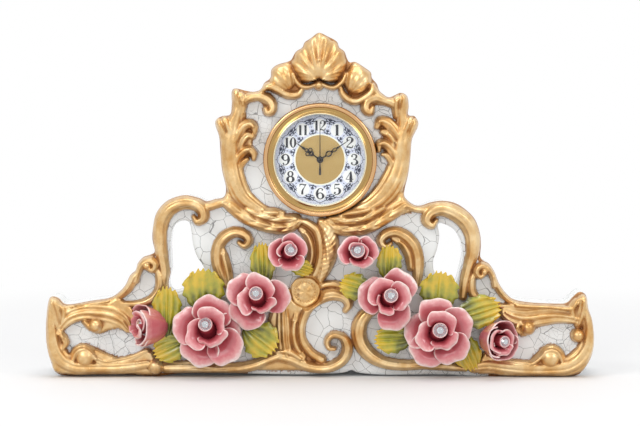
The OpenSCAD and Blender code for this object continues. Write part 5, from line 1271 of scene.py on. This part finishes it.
low_corner, high_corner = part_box("medallion")
seal_r, seal_front = 500 * (high_corner[0] - low_corner[0]), 1000 * low_corner[1]
bead_ring_r, bead_count, bead_size = 0.69 * seal_r, 22, 1.0
turn = np.arange(96) * 2 * np.pi / 96
uneven_edge = 1 + 0.035 * np.sin(3 * turn + 0.6) + 0.02 * np.sin(7 * turn)
seal_profile = [(0.0, front_y), (1.0, front_y), (1.04, front_y - 1.5), (1.06, seal_front + 3.0),
                (1.02, seal_front + 1.6), (0.94, seal_front + 1.0), (0.86, seal_front + 1.5),
                (0.80, seal_front + 2.0), (0.58, seal_front + 2.1), (0.50, seal_front + 1.6),
                (0.36, seal_front + 1.3), (0.10, seal_front + 1.6), (0.0, seal_front + 1.6)]
seal_rings = []
for share, y in seal_profile:
    wave = 0.35 * np.cos(6 * turn) * (0.1 < share < 0.52)
    r = seal_r * share * (uneven_edge if share > 0.9 else np.ones(96))
    places = np.stack([seal_x + r * np.cos(turn), y + wave, seal_z + r * np.sin(turn)], axis=1)
    seal_rings.append(places if share > 0 else places[:1])
seal_shapes = [ring_skin(seal_rings)[:2]]
bead = [(bead_size * math.cos(t), seal_front + 2.1 - bead_size * math.sin(t))
        for t in (-1.5708, 0, 0.5, 1.0, 1.5708)]
for k in range(bead_count):
    a = 2 * math.pi * k / bead_count
    bead_x, bead_z = seal_x + bead_ring_r * math.cos(a), seal_z + bead_ring_r * math.sin(a)
    seal_shapes.append(lathe(bead, bead_x, bead_z, 10))
seal_points, seal_faces = joined(seal_shapes)

gilt, tree, shader, at = material("gilt_seal")
pressed = noise(tree, at, 330.0, 3.0)
old = ranged(tree, pressed, 0.5, 0.8, to_max=0.4)
gold = put(tree, "Group", {"Vector": at, "Edge": 3.0, "Hollow": old}, node_tree=fired_gold).outputs
fill(tree, shader, {"Base Color": gold["Colour"], "Roughness": gold["Roughness"], "Metallic": 0.85,
                    "Normal": bumped(tree, pressed, 0.5, 0.0006)})
seal = mesh_piece("pressed_seal", seal_points / 1000, seal_faces, gilt)
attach(seal, "case")
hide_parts("medallion")


# ================================================================ bezel and its glass
# The clock insert's front ring is spun from brass sheet, polished and lacquered: a rounded bead
# outside, a smooth hollow flange inside it, and a thin pale edge that holds the flat glass.

lens_low, lens_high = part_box("lens")
ring_low, ring_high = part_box("bezel_ring")
bezel_r = 500 * (ring_high[0] - ring_low[0])
bezel_front = 1000 * ring_low[1]
lens_r = 500 * (lens_high[0] - lens_low[0])
glass_front, glass_back = 1000 * lens_low[1], 1000 * lens_high[1]
housing_low, housing_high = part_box("insert_housing")
housing_r = 500 * (housing_high[0] - housing_low[0])
dial_r = lens_r - 2.6
bead_r = 2.15

bead = [(bezel_r - bead_r + bead_r * math.cos(a), bezel_front + bead_r - bead_r * math.sin(a))
        for a in np.linspace(-0.35, math.pi * 0.93, 22)]
flange_start = bead[-1]
flange = [(flange_start[0] + t * (dial_r + 0.9 - flange_start[0]),
           flange_start[1] + t * (glass_front - 1.25 - flange_start[1]) + 0.95 * math.sin(math.pi * t))
          for t in np.linspace(0.05, 0.97, 16)]
edge = [(dial_r + 0.75, glass_front - 1.35), (dial_r + 0.5, glass_front - 1.5),
        (dial_r + 0.2, glass_front - 1.4), (dial_r + 0.05, glass_front - 1.1),
        (dial_r + 0.05, glass_front - 0.02)]
under = [(lens_r, glass_front - 0.02), (lens_r + 0.02, front_y + 1.6), (housing_r - 0.02, front_y + 1.6),
         (housing_r - 0.02, front_y - 0.3), (bezel_r - 0.3, front_y - 0.3)]
ring_points, ring_faces = lathe(bead + flange + edge + under, dial_x, dial_z, 192, closed=True)


def from_dial_middle(tree, at):
    """Places measured from the middle of the dial, in metres."""
    moved = put(tree, "VectorMath", {0: at, 1: (-dial_x / 1000, 0, -dial_z / 1000)}, operation="ADD")
    return moved.outputs[0]


def out_from_axis(tree, at):
    """How far a place is from the line that the hands turn about, in metres."""
    parts = put(tree, "SeparateXYZ", {0: from_dial_middle(tree, at)}).outputs
    squared = calc(tree, "MULTIPLY", parts["X"], parts["X"])
    return calc(tree, "SQRT", calc(tree, "MULTIPLY_ADD", parts["Z"], parts["Z"], squared))


spun_brass, tree, shader, at = material("spun_lacquered_brass")
outward = out_from_axis(tree, at)
turning = put(tree, "TexNoise", {"W": outward, "Scale": 5200.0, "Detail": 2.0}, noise_dimensions="1D")
film = noise(tree, at, 45.0, 3.0)
pale_edge = ranged(tree, outward, (dial_r + 0.7) / 1000, (dial_r + 0.95) / 1000, 1.0, 0.0)
rosy = ranged(tree, outward, (bezel_r - 4.6) / 1000, (bezel_r - 4.0) / 1000)
brass_tone = mixed(tree, film, (0.42, 0.255, 0.078, 1), (0.48, 0.31, 0.110, 1))
lacquer = mixed(tree, rosy, brass_tone, (0.66, 0.40, 0.19, 1))
fill(tree, shader, {
    "Base Color": mixed(tree, pale_edge, lacquer, (0.92, 0.85, 0.62, 1)), "Metallic": 1.0,
    "Roughness": ranged(tree, film, 0.3, 0.7, 0.17, 0.27),
    "Normal": bumped(tree, turning.outputs[0], 0.06, 0.0002), "Coat Weight": 0.4, "Coat Roughness": 0.05})
brass_ring = mesh_piece("spun_bezel", ring_points / 1000, ring_faces, spun_brass)
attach(brass_ring, "insert")
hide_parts("bezel_ring")

clear_glass, tree, shader, at = material("clear_mineral_glass")
dust = noise(tree, at, 60.0, 2.0)
fill(tree, shader, {"Base Color": (0.98, 0.99, 1.0, 1.0), "Transmission Weight": 1.0, "Roughness": 0.0,
                    "IOR": 1.2, "Normal": bumped(tree, dust, 0.02, 0.0002)})
through = put(tree, "BsdfTransparent", {"Color": (0.96, 0.97, 0.98, 1.0)})
both = put(tree, "MixShader", {0: put(tree, "LightPath").outputs["Is Shadow Ray"], 1: shader.outputs[0],
                               2: through.outputs[0]})
fill(tree, tree.nodes["Material Output"], {"Surface": both.outputs[0]})
pane_profile = [(0.0, glass_back), (lens_r - 0.35, glass_back), (lens_r - 0.05, glass_back - 0.2),
                (lens_r - 0.05, glass_front + 0.2), (lens_r - 0.35, glass_front + 0.02),
                (0.0, glass_front + 0.02)]
pane_points, pane_faces = lathe(pane_profile, dial_x, dial_z, 96)
pane = mesh_piece("flat_glass", pane_points / 1000, pane_faces, clear_glass, smooth=False)
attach(pane, "insert")
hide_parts("lens")


# ================================================================ dial
# A printed card dial: cream roundels with black numbers on a pale lavender ground, blue-grey
# leaf sprays between them, sixty minute dots, and an embossed gilt card disc glued at the middle.

plate_low, plate_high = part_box("dial_plate")
dial_front, plate_back = 1000 * plate_low[1], 1000 * plate_high[1]
neck_hole, disc_seat_r = 4.0, 34.0
plate_profile = [(neck_hole, plate_back), (lens_r - 0.2, plate_back), (lens_r - 0.05, plate_back - 0.1),
                 (lens_r - 0.05, dial_front + 0.1), (lens_r - 0.2, dial_front), (dial_r, dial_front),
                 (disc_seat_r, dial_front), (neck_hole, dial_front)]
plate_points, plate_faces = lathe(plate_profile, dial_x, dial_z, 144, closed=True)

card, tree, shader, at = material("pale_dial_card")
cream_rim = ranged(tree, out_from_axis(tree, at), (dial_r - 0.7) / 1000, (dial_r - 0.4) / 1000)
stipple = put(tree, "TexVoronoi", {"Vector": at, "Scale": 620.0, "Randomness": 0.9}).outputs["Distance"]
fibre = noise(tree, at, 900.0, 3.0)
lavender = mixed(tree, fibre, (0.68, 0.70, 0.79, 1), (0.76, 0.78, 0.85, 1))
printed = mixed(tree, ranged(tree, stipple, 0.18, 0.40, 0.80, 0.10), lavender, (0.36, 0.42, 0.58, 1))
fill(tree, shader, {"Base Color": mixed(tree, cream_rim, printed, (0.93, 0.91, 0.78, 1)),
                    "Roughness": ranged(tree, fibre, to_min=0.42, to_max=0.62)})
dial_card = mesh_piece("dial_card", plate_points / 1000, plate_faces, card, smooth=False)
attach(dial_card, "insert")
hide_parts("dial_plate")


def ink(name, colour, deeper, rough):
    """A printing ink: an even film, a little uneven in tone and gloss where it soaked in."""
    made, tree, shader, at = material(name)
    soak = noise(tree, at, 800.0, 3.0)
    fill(tree, shader, {"Base Color": mixed(tree, soak, colour, deeper),
                        "Roughness": ranged(tree, soak, to_min=rough, to_max=rough + 0.15)})
    return made


def ribbon(points, lift=0.05, thick=0.02, closed=False):
    """A flat stroke along a path of (right, up, half width): top, sides and underside."""
    p = curve(points, 0.12, closed=closed)
    q = p[:, :2]
    along = np.roll(q, -1, axis=0) - np.roll(q, 1, axis=0) if closed else np.gradient(q, axis=0)
    side = np.stack([-along[:, 1], along[:, 0]], axis=1)
    side /= np.maximum(np.hypot(*side.T), 1e-9)[:, None]
    n = len(p)
    places = np.concatenate([np.column_stack([edge, np.full(n, h)]) for h in (lift + thick, lift)
                             for edge in (q + side * p[:, 2:3], q - side * p[:, 2:3])])
    faces = []
    for i in range(n if closed else n - 1):
        j = (i + 1) % n
        faces += [(i, n + i, n + j, j), (2 * n + i, 2 * n + j, 3 * n + j, 3 * n + i),
                  (i, j, 2 * n + j, 2 * n + i), (n + i, 3 * n + i, 3 * n + j, n + j)]
    if not closed:
        faces += [(0, 2 * n, 3 * n, n), (n - 1, 2 * n - 1, 4 * n - 1, 3 * n - 1)]
    return places, faces


def disc(x, z, radius, lift=0.05, thick=0.02, steps=10):
    """A flat round dot."""
    turn = np.arange(steps) * 2 * np.pi / steps
    circle = np.stack([x + radius * np.cos(turn), z + radius * np.sin(turn)], axis=1)
    places = np.concatenate([np.column_stack([circle, np.full(steps, h)]) for h in (lift + thick, lift)])
    faces = [tuple(range(steps)), tuple(range(2 * steps - 1, steps - 1, -1))]
    faces += [(i, steps + i, steps + (i + 1) % steps, (i + 1) % steps) for i in range(steps)]
    return places, faces


def oval(x, z, wide, tall, thick_side, thin_end):
    """A closed letter stroke, heavy at its sides and fine at its top and foot."""
    turn = np.linspace(0, 2 * np.pi, oval_steps, endpoint=False)
    return [(x + wide * np.cos(a), z + tall * np.sin(a), thin_end + (thick_side - thin_end) * np.cos(a) ** 2)
            for a in turn]


# The numbers, drawn in a box one high: each sign is its strokes, as paths of (right, up, half width),
# its blobs, as (right, up, radius), and its width. An oval is told by its many places.
heavy, fine = 0.104, 0.034
oval_steps = 24
six = [[(0.47, 0.86, 0.045), (0.40, 0.955, 0.03), (0.28, 0.965, fine), (0.14, 0.83, 0.055),
        (0.075, 0.52, heavy), (0.12, 0.18, 0.06), (0.28, 0.03, fine), (0.45, 0.13, 0.06),
        (0.50, 0.30, heavy), (0.43, 0.50, 0.05), (0.30, 0.58, fine), (0.17, 0.50, fine),
        (0.12, 0.38, fine)]]
glyphs = {
    "0": ([oval(0.28, 0.5, 0.205, 0.465, heavy, fine)], [], 0.56),
    "1": ([[(0.20, 0.02, heavy), (0.20, 0.5, heavy), (0.20, 0.97, heavy)],
           [(0.05, 0.02, 0.018), (0.20, 0.02, 0.018), (0.35, 0.02, 0.018)],
           [(0.05, 0.86, 0.015), (0.12, 0.90, 0.03), (0.20, 0.955, 0.02)]], [], 0.40),
    "2": ([[(0.08, 0.74, fine), (0.12, 0.88, fine), (0.27, 0.97, fine), (0.43, 0.88, 0.06),
            (0.47, 0.73, heavy), (0.40, 0.54, 0.06), (0.22, 0.32, 0.03), (0.07, 0.10, fine)],
           [(0.06, 0.05, 0.03), (0.18, 0.10, 0.045), (0.34, 0.045, 0.055), (0.46, 0.07, 0.04),
            (0.52, 0.24, fine)]],
          [(0.12, 0.73, 0.075)], 0.56),
    "3": ([[(0.08, 0.80, fine), (0.16, 0.93, fine), (0.27, 0.97, fine), (0.41, 0.88, 0.06),
            (0.42, 0.72, 0.07), (0.34, 0.58, 0.035), (0.20, 0.535, 0.016)],
           [(0.20, 0.53, 0.016), (0.36, 0.49, 0.04), (0.46, 0.36, 0.07), (0.465, 0.20, heavy),
            (0.37, 0.06, 0.05), (0.25, 0.025, fine), (0.12, 0.07, fine), (0.06, 0.18, fine)]],
          [(0.12, 0.79, 0.065), (0.11, 0.19, 0.07)], 0.54),
    "4": ([[(0.37, 0.02, heavy), (0.37, 0.5, heavy), (0.37, 0.96, 0.05)],
           [(0.37, 0.96, 0.03), (0.20, 0.62, 0.022), (0.03, 0.28, 0.022)],
           [(0.02, 0.27, 0.022), (0.28, 0.27, 0.022), (0.55, 0.27, 0.022)],
           [(0.24, 0.02, 0.018), (0.37, 0.02, 0.018), (0.50, 0.02, 0.018)]], [], 0.56),
    "5": ([[(0.11, 0.92, 0.055), (0.28, 0.91, 0.05), (0.44, 0.94, 0.05)],
           [(0.11, 0.93, 0.02), (0.10, 0.72, 0.02), (0.09, 0.50, 0.02)],
           [(0.09, 0.51, fine), (0.24, 0.61, 0.025), (0.39, 0.55, 0.055), (0.46, 0.34, heavy),
            (0.40, 0.12, 0.06), (0.25, 0.025, fine), (0.12, 0.07, fine), (0.07, 0.17, fine)]],
          [(0.12, 0.19, 0.07)], 0.54),
    "6": (six, [(0.44, 0.84, 0.06)], 0.56),
    "7": ([[(0.05, 0.90, 0.06), (0.22, 0.94, 0.045), (0.38, 0.88, 0.05), (0.50, 0.94, 0.03)],
           [(0.05, 0.97, 0.015), (0.045, 0.86, 0.015), (0.04, 0.72, 0.015)],
           [(0.50, 0.93, 0.02), (0.36, 0.66, 0.03), (0.24, 0.36, 0.065), (0.22, 0.03, 0.085)]], [], 0.54),
    "8": ([oval(0.27, 0.745, 0.155, 0.215, 0.07, fine), oval(0.27, 0.27, 0.20, 0.245, heavy, fine)],
          [], 0.54),
    "9": ([[(0.55 - x, 1 - z, w) for x, z, w in six[0]]], [(0.11, 0.16, 0.06)], 0.56),
}
number_height, number_circle, sign_gap = 10.2, 31.0, 0.08
black_ink = ink("black_dial_ink", (0.018, 0.018, 0.024, 1), (0.035, 0.035, 0.045, 1), 0.35)
shapes = []
for hour in range(1, 13):
    signs = [glyphs[sign] for sign in str(hour)]
    tall = number_height * (1.0 if len(signs) == 1 else 0.92)
    broad = tall * (1.28 if len(signs) == 1 else 1.06)
    pen = (broad + tall) / 2
    wide = sum(g[2] for g in signs) + sign_gap * (len(signs) - 1)
    a = math.radians(90 - 30 * hour)
    left = number_circle * math.cos(a) - wide * broad / 2
    foot = number_circle * math.sin(a) - tall / 2
    for strokes, blobs, step in signs:
        for k, stroke in enumerate(strokes):
            scaled = [(left + x * broad, foot + z * tall, w * pen) for x, z, w in stroke]
            shapes.append(ribbon(scaled, 0.07, 0.03 + 0.004 * k, closed=len(stroke) == oval_steps))
        for x, z, r in blobs:
            shapes.append(disc(left + x * broad, foot + z * tall, r * pen, 0.07, 0.045, 20))
        left += (step + sign_gap) * broad
number_places, number_faces = joined(shapes)


def on_dial(places):
    """Flat places, in mm right and up of the dial's middle and forward of it, in the clock's own frame."""
    return np.stack([dial_x + places[:, 0], dial_front - places[:, 2], dial_z + places[:, 1]], axis=1) / 1000


numbers = mesh_piece("dial_numbers", on_dial(number_places), number_faces, black_ink, smooth=False)
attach(numbers, "insert")

# One printed motif is set round the dial: turned outwards at each place on a circle.
print_ring, p_in, p_out = group(
    "ring_of_prints", [("Geometry", "Geometry", None), ("Count", "Int", 12), ("Radius", "Float", 0.03),
                       ("Start Angle", "Float", 0.0), ("Material", "Material", None)],
    [("Geometry", "Geometry")], "Geometry")
circle = grow(print_ring, "MeshCircle", {"Vertices": p_in.outputs["Count"], "Radius": p_in.outputs["Radius"]})
start = put(print_ring, "CombineXYZ", {"Z": p_in.outputs["Start Angle"]}).outputs[0]
where = grow(print_ring, "InputPosition")
set_prints = grow(print_ring, "InstanceOnPoints", {
    "Points": grow(print_ring, "Transform", {"Geometry": circle, "Rotation": start}),
    "Instance": p_in.outputs["Geometry"],
    "Rotation": grow(print_ring, "FunctionNodeAlignRotationToVector", {"Vector": where}, axis="Y")})
stood = grow(print_ring, "Transform", {
    "Geometry": set_prints, "Rotation": (math.pi / 2, 0, 0),
    "Translation": (dial_x / 1000, dial_front / 1000, dial_z / 1000)})
real_prints = grow(print_ring, "RealizeInstances", {"Geometry": stood})
fill(print_ring, p_out, {"Geometry": grow(print_ring, "SetMaterial", {
    "Geometry": real_prints, "Material": p_in.outputs["Material"]})})

cream = ink("cream_roundel_ink", (0.80, 0.80, 0.77, 1), (0.85, 0.85, 0.82, 1), 0.45)
blue_grey = ink("blue_grey_spray_ink", (0.018, 0.021, 0.045, 1), (0.04, 0.048, 0.09, 1), 0.45)
cream_line = ink("cream_line_ink", (0.86, 0.84, 0.66, 1), (0.92, 0.90, 0.74, 1), 0.40)

spray, inner_spray = [], []
for s in (-1, 1):
    spray += [
        ribbon([(0.0, -2.4, 0.22), (s * 1.0, -1.3, 0.42), (s * 2.4, -1.0, 0.52), (s * 3.6, 0.1, 0.46),
                (s * 3.2, 1.3, 0.34), (s * 2.1, 1.2, 0.30), (s * 2.2, 0.4, 0.18)]),
        ribbon([(s * 0.3, -0.6, 0.18), (s * 1.2, 0.6, 0.62), (s * 1.0, 2.2, 0.14)], thick=0.025),
        ribbon([(s * 2.2, -1.0, 0.18), (s * 3.6, -1.5, 0.52), (s * 5.0, -0.9, 0.12)]),
        ribbon([(s * 3.4, 0.5, 0.16), (s * 4.5, 0.8, 0.46), (s * 5.8, 0.3, 0.12)]),
        ribbon([(s * 0.4, -2.6, 0.14), (s * 1.6, -3.0, 0.42), (s * 2.8, -2.6, 0.10)]),
        disc(s * 3.4, -2.7, 0.40), disc(s * 6.2, 1.2, 0.34)]
    inner_spray += [
        ribbon([(0, -1.9, 0.2), (s * 1.0, -1.0, 0.46), (s * 2.2, -1.1, 0.48), (s * 3.1, -0.1, 0.32),
                (s * 2.2, 0.6, 0.22)]),
        ribbon([(s * 0.2, 0.2, 0.16), (s * 1.0, 1.2, 0.48), (s * 0.8, 2.5, 0.12)]),
        disc(s * 3.6, -1.5, 0.34)]
spray += [ribbon([(0, -3.9, 0.16), (0, -2.0, 0.60), (0, -0.6, 0.2)], thick=0.03),
          ribbon([(0, -0.8, 0.2), (0, 0.8, 0.66), (0, 2.6, 0.12)], thick=0.03)]
inner_spray.append(ribbon([(0, -1.9, 0.16), (0, 0.5, 0.58), (0, 3.2, 0.12)], thick=0.025))
scallop = ribbon([(-4.6, -1.6, 0.14), (-2.7, 0.1, 0.20), (0.0, 0.75, 0.22), (2.7, 0.1, 0.20),
                  (4.6, -1.6, 0.14)], 0.045)
lozenge = ribbon([(0, -0.6, 0.1), (0, 0, 0.36), (0, 0.6, 0.1)], thick=0.03)
spark = ribbon([(0, -0.8, 0.10), (0, 0, 0.40), (0, 0.9, 0.10)])
prints = [
    # name, motif, number, circle, angle of the first, ink
    ("dial_roundels", [disc(0, 0, 6.0, 0.0, 0.05, 40)], 12, 31.0, 0.0, cream),
    ("dial_outer_sprays", spray, 12, 36.2, 15.0, blue_grey),
    ("dial_inner_sprays", inner_spray, 12, 25.6, 15.0, blue_grey),
    ("dial_scallops", [scallop], 12, 38.2, 0.0, blue_grey),
    ("dial_minutes", [disc(0, 0, 0.26)], 60, 39.9, 0.0, blue_grey),
    ("dial_five_minutes", [lozenge], 12, 39.9, 0.0, blue_grey),
    ("dial_sparks", [spark], 12, 30.6, 15.0, blue_grey),
]
for name, motif, count, radius, first, film in prints:
    places, faces = joined(motif)
    seed = mesh_piece(name + "_motif", places / 1000, faces, film, smooth=False)
    printed = grown(seed, print_ring, {"Count": count, "Radius": radius / 1000,
                                       "Start Angle": math.radians(first), "Material": film}, name)
    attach(printed, "insert")

disc_low, disc_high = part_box("dial_centre_disc")
disc_r, disc_front = 500 * (disc_high[0] - disc_low[0]), 1000 * disc_low[1]
line_points, line_faces = lathe([(disc_r + 0.05, dial_front - 0.01), (disc_r + 1.0, dial_front - 0.01),
                                 (disc_r + 1.0, dial_front - 0.14), (disc_r + 0.05, dial_front - 0.14)],
                                dial_x, dial_z, 120, closed=True)
cream_ring = mesh_piece("dial_cream_line", line_points / 1000, line_faces, cream_line, smooth=False)
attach(cream_ring, "insert")

gilt_card, tree, shader, at = material("embossed_gilt_card")
sunray = put(tree, "TexWave", {"Vector": from_dial_middle(tree, at), "Scale": 420.0, "Distortion": 1.5,
                               "Detail": 2.0}, wave_type="RINGS", rings_direction="Y")
cloud = noise(tree, at, 55.0, 3.0)
fill(tree, shader, {
    "Base Color": mixed(tree, cloud, (0.40, 0.255, 0.080, 1), (0.60, 0.43, 0.185, 1)),
    "Roughness": ranged(tree, cloud, to_min=0.34, to_max=0.5), "Metallic": 0.55,
    "Normal": bumped(tree, sunray.outputs[1], 0.10, 0.0003)})
disc_profile = [(3.0, dial_front - 0.02), (disc_r - 0.15, dial_front - 0.02), (disc_r, dial_front - 0.15),
                (disc_r - 0.15, disc_front), (disc_r - 1.2, disc_front), (disc_r - 1.5, disc_front + 0.08),
                (disc_r - 1.8, disc_front), (9.0, disc_front), (8.7, disc_front + 0.08), (8.4, disc_front),
                (3.0, disc_front)]
disc_points, disc_faces = lathe(disc_profile, dial_x, dial_z, 120, closed=True)
gilt_disc = mesh_piece("gilt_centre_disc", disc_points / 1000, disc_faces, gilt_card, smooth=False)
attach(gilt_disc, "insert")
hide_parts("dial_centre_disc")


# ================================================================ hands
# Three stamped steel hands in black enamel, pressed on their pipes: a pierced trefoil for the
# hours, pierced scrolls for the minutes, and a plain straight hand with a counterweight bar.

enamel, tree, shader, at = material("black_hand_enamel")
runs = noise(tree, at, 240.0, 2.0)
fill(tree, shader, {
    "Base Color": mixed(tree, runs, (0.020, 0.014, 0.012, 1), (0.035, 0.026, 0.022, 1)),
    "Roughness": ranged(tree, runs, to_min=0.22, to_max=0.34), "Coat Weight": 0.3})


def hand(node, angle, shapes, boss):
    """A hand cut from sheet along its own length, turned to its angle, with a domed boss over its pipe."""
    low_corner, high_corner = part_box(node)
    thickness = 0.48
    places, faces = joined(shapes(thickness))
    c, s = math.cos(math.radians(angle)), math.sin(math.radians(angle))
    x, z = places[:, 0] * c - places[:, 1] * s, places[:, 0] * s + places[:, 1] * c
    back = 1000 * low_corner[1] + thickness
    flat = np.stack([dial_x + x, back - places[:, 2], dial_z + z], axis=1)
    hole, pipe_r = pipes[node]
    profile = [(hole, 1000 * high_corner[1]), (pipe_r, 1000 * high_corner[1]), (pipe_r, back), (boss, back),
               (boss, back - thickness + 0.1), (boss - 0.2, back - thickness), (hole, back - thickness)]
    dome_points, dome_faces = lathe(profile, dial_x, dial_z, 40, closed=hole > 0)
    all_places, all_faces = joined([(flat, faces), (dome_points, dome_faces)])
    made = mesh_piece(node.replace("hand", "blade"), all_places / 1000, all_faces, enamel, smooth=False)
    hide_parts(node)
    return made


# Each pipe's hole and outside, as radii: the hour pipe turns about the minute pipe, 0.06 mm clear of it.
pipes = {"hour_hand": (1.75, 2.6), "minute_hand": (0.84, 1.69), "second_hand": (0.0, 0.63)}


def hour_shapes(t):
    """Stem, three pierced rings set as a trefoil, and a spear with its waist."""
    rings_here = [ribbon(oval(x, z, r, r, 0.42, 0.42), 0, t, closed=True)
                  for x, z, r in ((12.2, 2.3, 1.55), (12.2, -2.3, 1.55), (15.0, 0, 1.35), (9.6, 0, 1.1))]
    curls = [ribbon([(7.0, 0, 0.5), (9.0, s * 1.9, 0.45), (10.6, s * 2.2, 0.3)], 0, t) for s in (-1, 1)]
    return rings_here + curls + [
        ribbon([(2.0, 0, 0.9), (5.5, 0, 0.55), (8.6, 0, 0.75)], 0, t),
        ribbon([(11.0, 0, 0.5), (12.4, 0, 0.9), (13.6, 0, 0.4)], 0, t),
        ribbon([(16.2, 0, 0.55), (18.4, 0, 1.25), (20.5, 0, 0.65), (23.5, 0, 0.42), (26.9, 0, 0.16)], 0, t)]


def minute_shapes(t):
    """Stem, a long pierced loop, a smaller one beyond it, and a fine point."""
    return [
        ribbon([(2.0, 0, 0.95), (4.5, 0, 0.6), (7.2, 0, 0.8)], 0, t),
        ribbon(oval(9.6, 0, 2.7, 2.15, 0.42, 0.65), 0, t, closed=True),
        ribbon([(12.2, 0, 0.7), (13.2, 0, 1.3), (14.2, 0, 0.7)], 0, t),
        ribbon(oval(16.0, 0, 2.2, 1.3, 0.36, 0.5), 0, t, closed=True),
        ribbon([(18.1, 0, 0.6), (19.6, 0, 0.95), (21.5, 0, 0.5), (27, 0, 0.36), (32.9, 0, 0.15)], 0, t)]


def second_shapes(t):
    """A straight needle and the bar that balances it."""
    return [ribbon([(0, 0, 0.50), (16, 0, 0.38), (33.9, 0, 0.20)], 0, t),
            ribbon([(-6.2, 0, 0.6), (-9, 0, 0.95), (-13.9, 0, 1.0)], 0, t),
            ribbon([(0, 0, 0.50), (-4, 0, 0.48), (-6.4, 0, 0.6)], 0, t)]


hands = [
    # node, body, degrees that it is turned anticlockwise from the right, shapes, radius of its boss
    ("hour_hand", "hour", 145, hour_shapes, 3.1),
    ("minute_hand", "minute", 34, minute_shapes, 2.45),
    ("second_hand", "second", 90, second_shapes, 1.6),
]
for node, body_name, angle, shapes, boss in hands:
    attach(hand(node, angle, shapes, boss), body_name)


# ================================================================ back of the insert
# Behind the case the insert shows a moulded black housing with a quartz movement, its battery
# between steel springs, the hand-setting wheel, and the ribbed rubber band that grips the bore.

def finish(nodes, name, colour, other, metal, rough, scale, relief):
    """Gives carried-over pieces one finish: two close tones, an uneven gloss and a fine relief."""
    made, tree, shader, at = material(name)
    grain = noise(tree, at, scale, 4.0)
    fill(tree, shader, {
        "Base Color": mixed(tree, grain, colour, other), "Metallic": metal,
        "Roughness": ranged(tree, grain, 0.3, 0.7, rough, rough + 0.16),
        "Normal": bumped(tree, grain, relief, 0.0004)})
    for node in nodes:
        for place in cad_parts[node].material_slots:
            place.material = made


finish(["insert_housing", "movement_case", "setting_knob"], "spark_eroded_black_plastic",
       (0.016, 0.016, 0.018, 1), (0.030, 0.030, 0.032, 1), 0.0, 0.42, 1500.0, 0.35)
finish(["retaining_band"], "matt_band_rubber",
       (0.020, 0.020, 0.020, 1), (0.045, 0.044, 0.042, 1), 0.0, 0.62, 700.0, 0.4)
finish(["battery"], "cell_steel", (0.48, 0.49, 0.51, 1), (0.60, 0.61, 0.63, 1), 0.9, 0.22, 300.0, 0.06)
finish(["battery_contacts"], "plated_spring_steel",
       (0.55, 0.54, 0.50, 1), (0.68, 0.66, 0.60, 1), 1.0, 0.24, 420.0, 0.1)
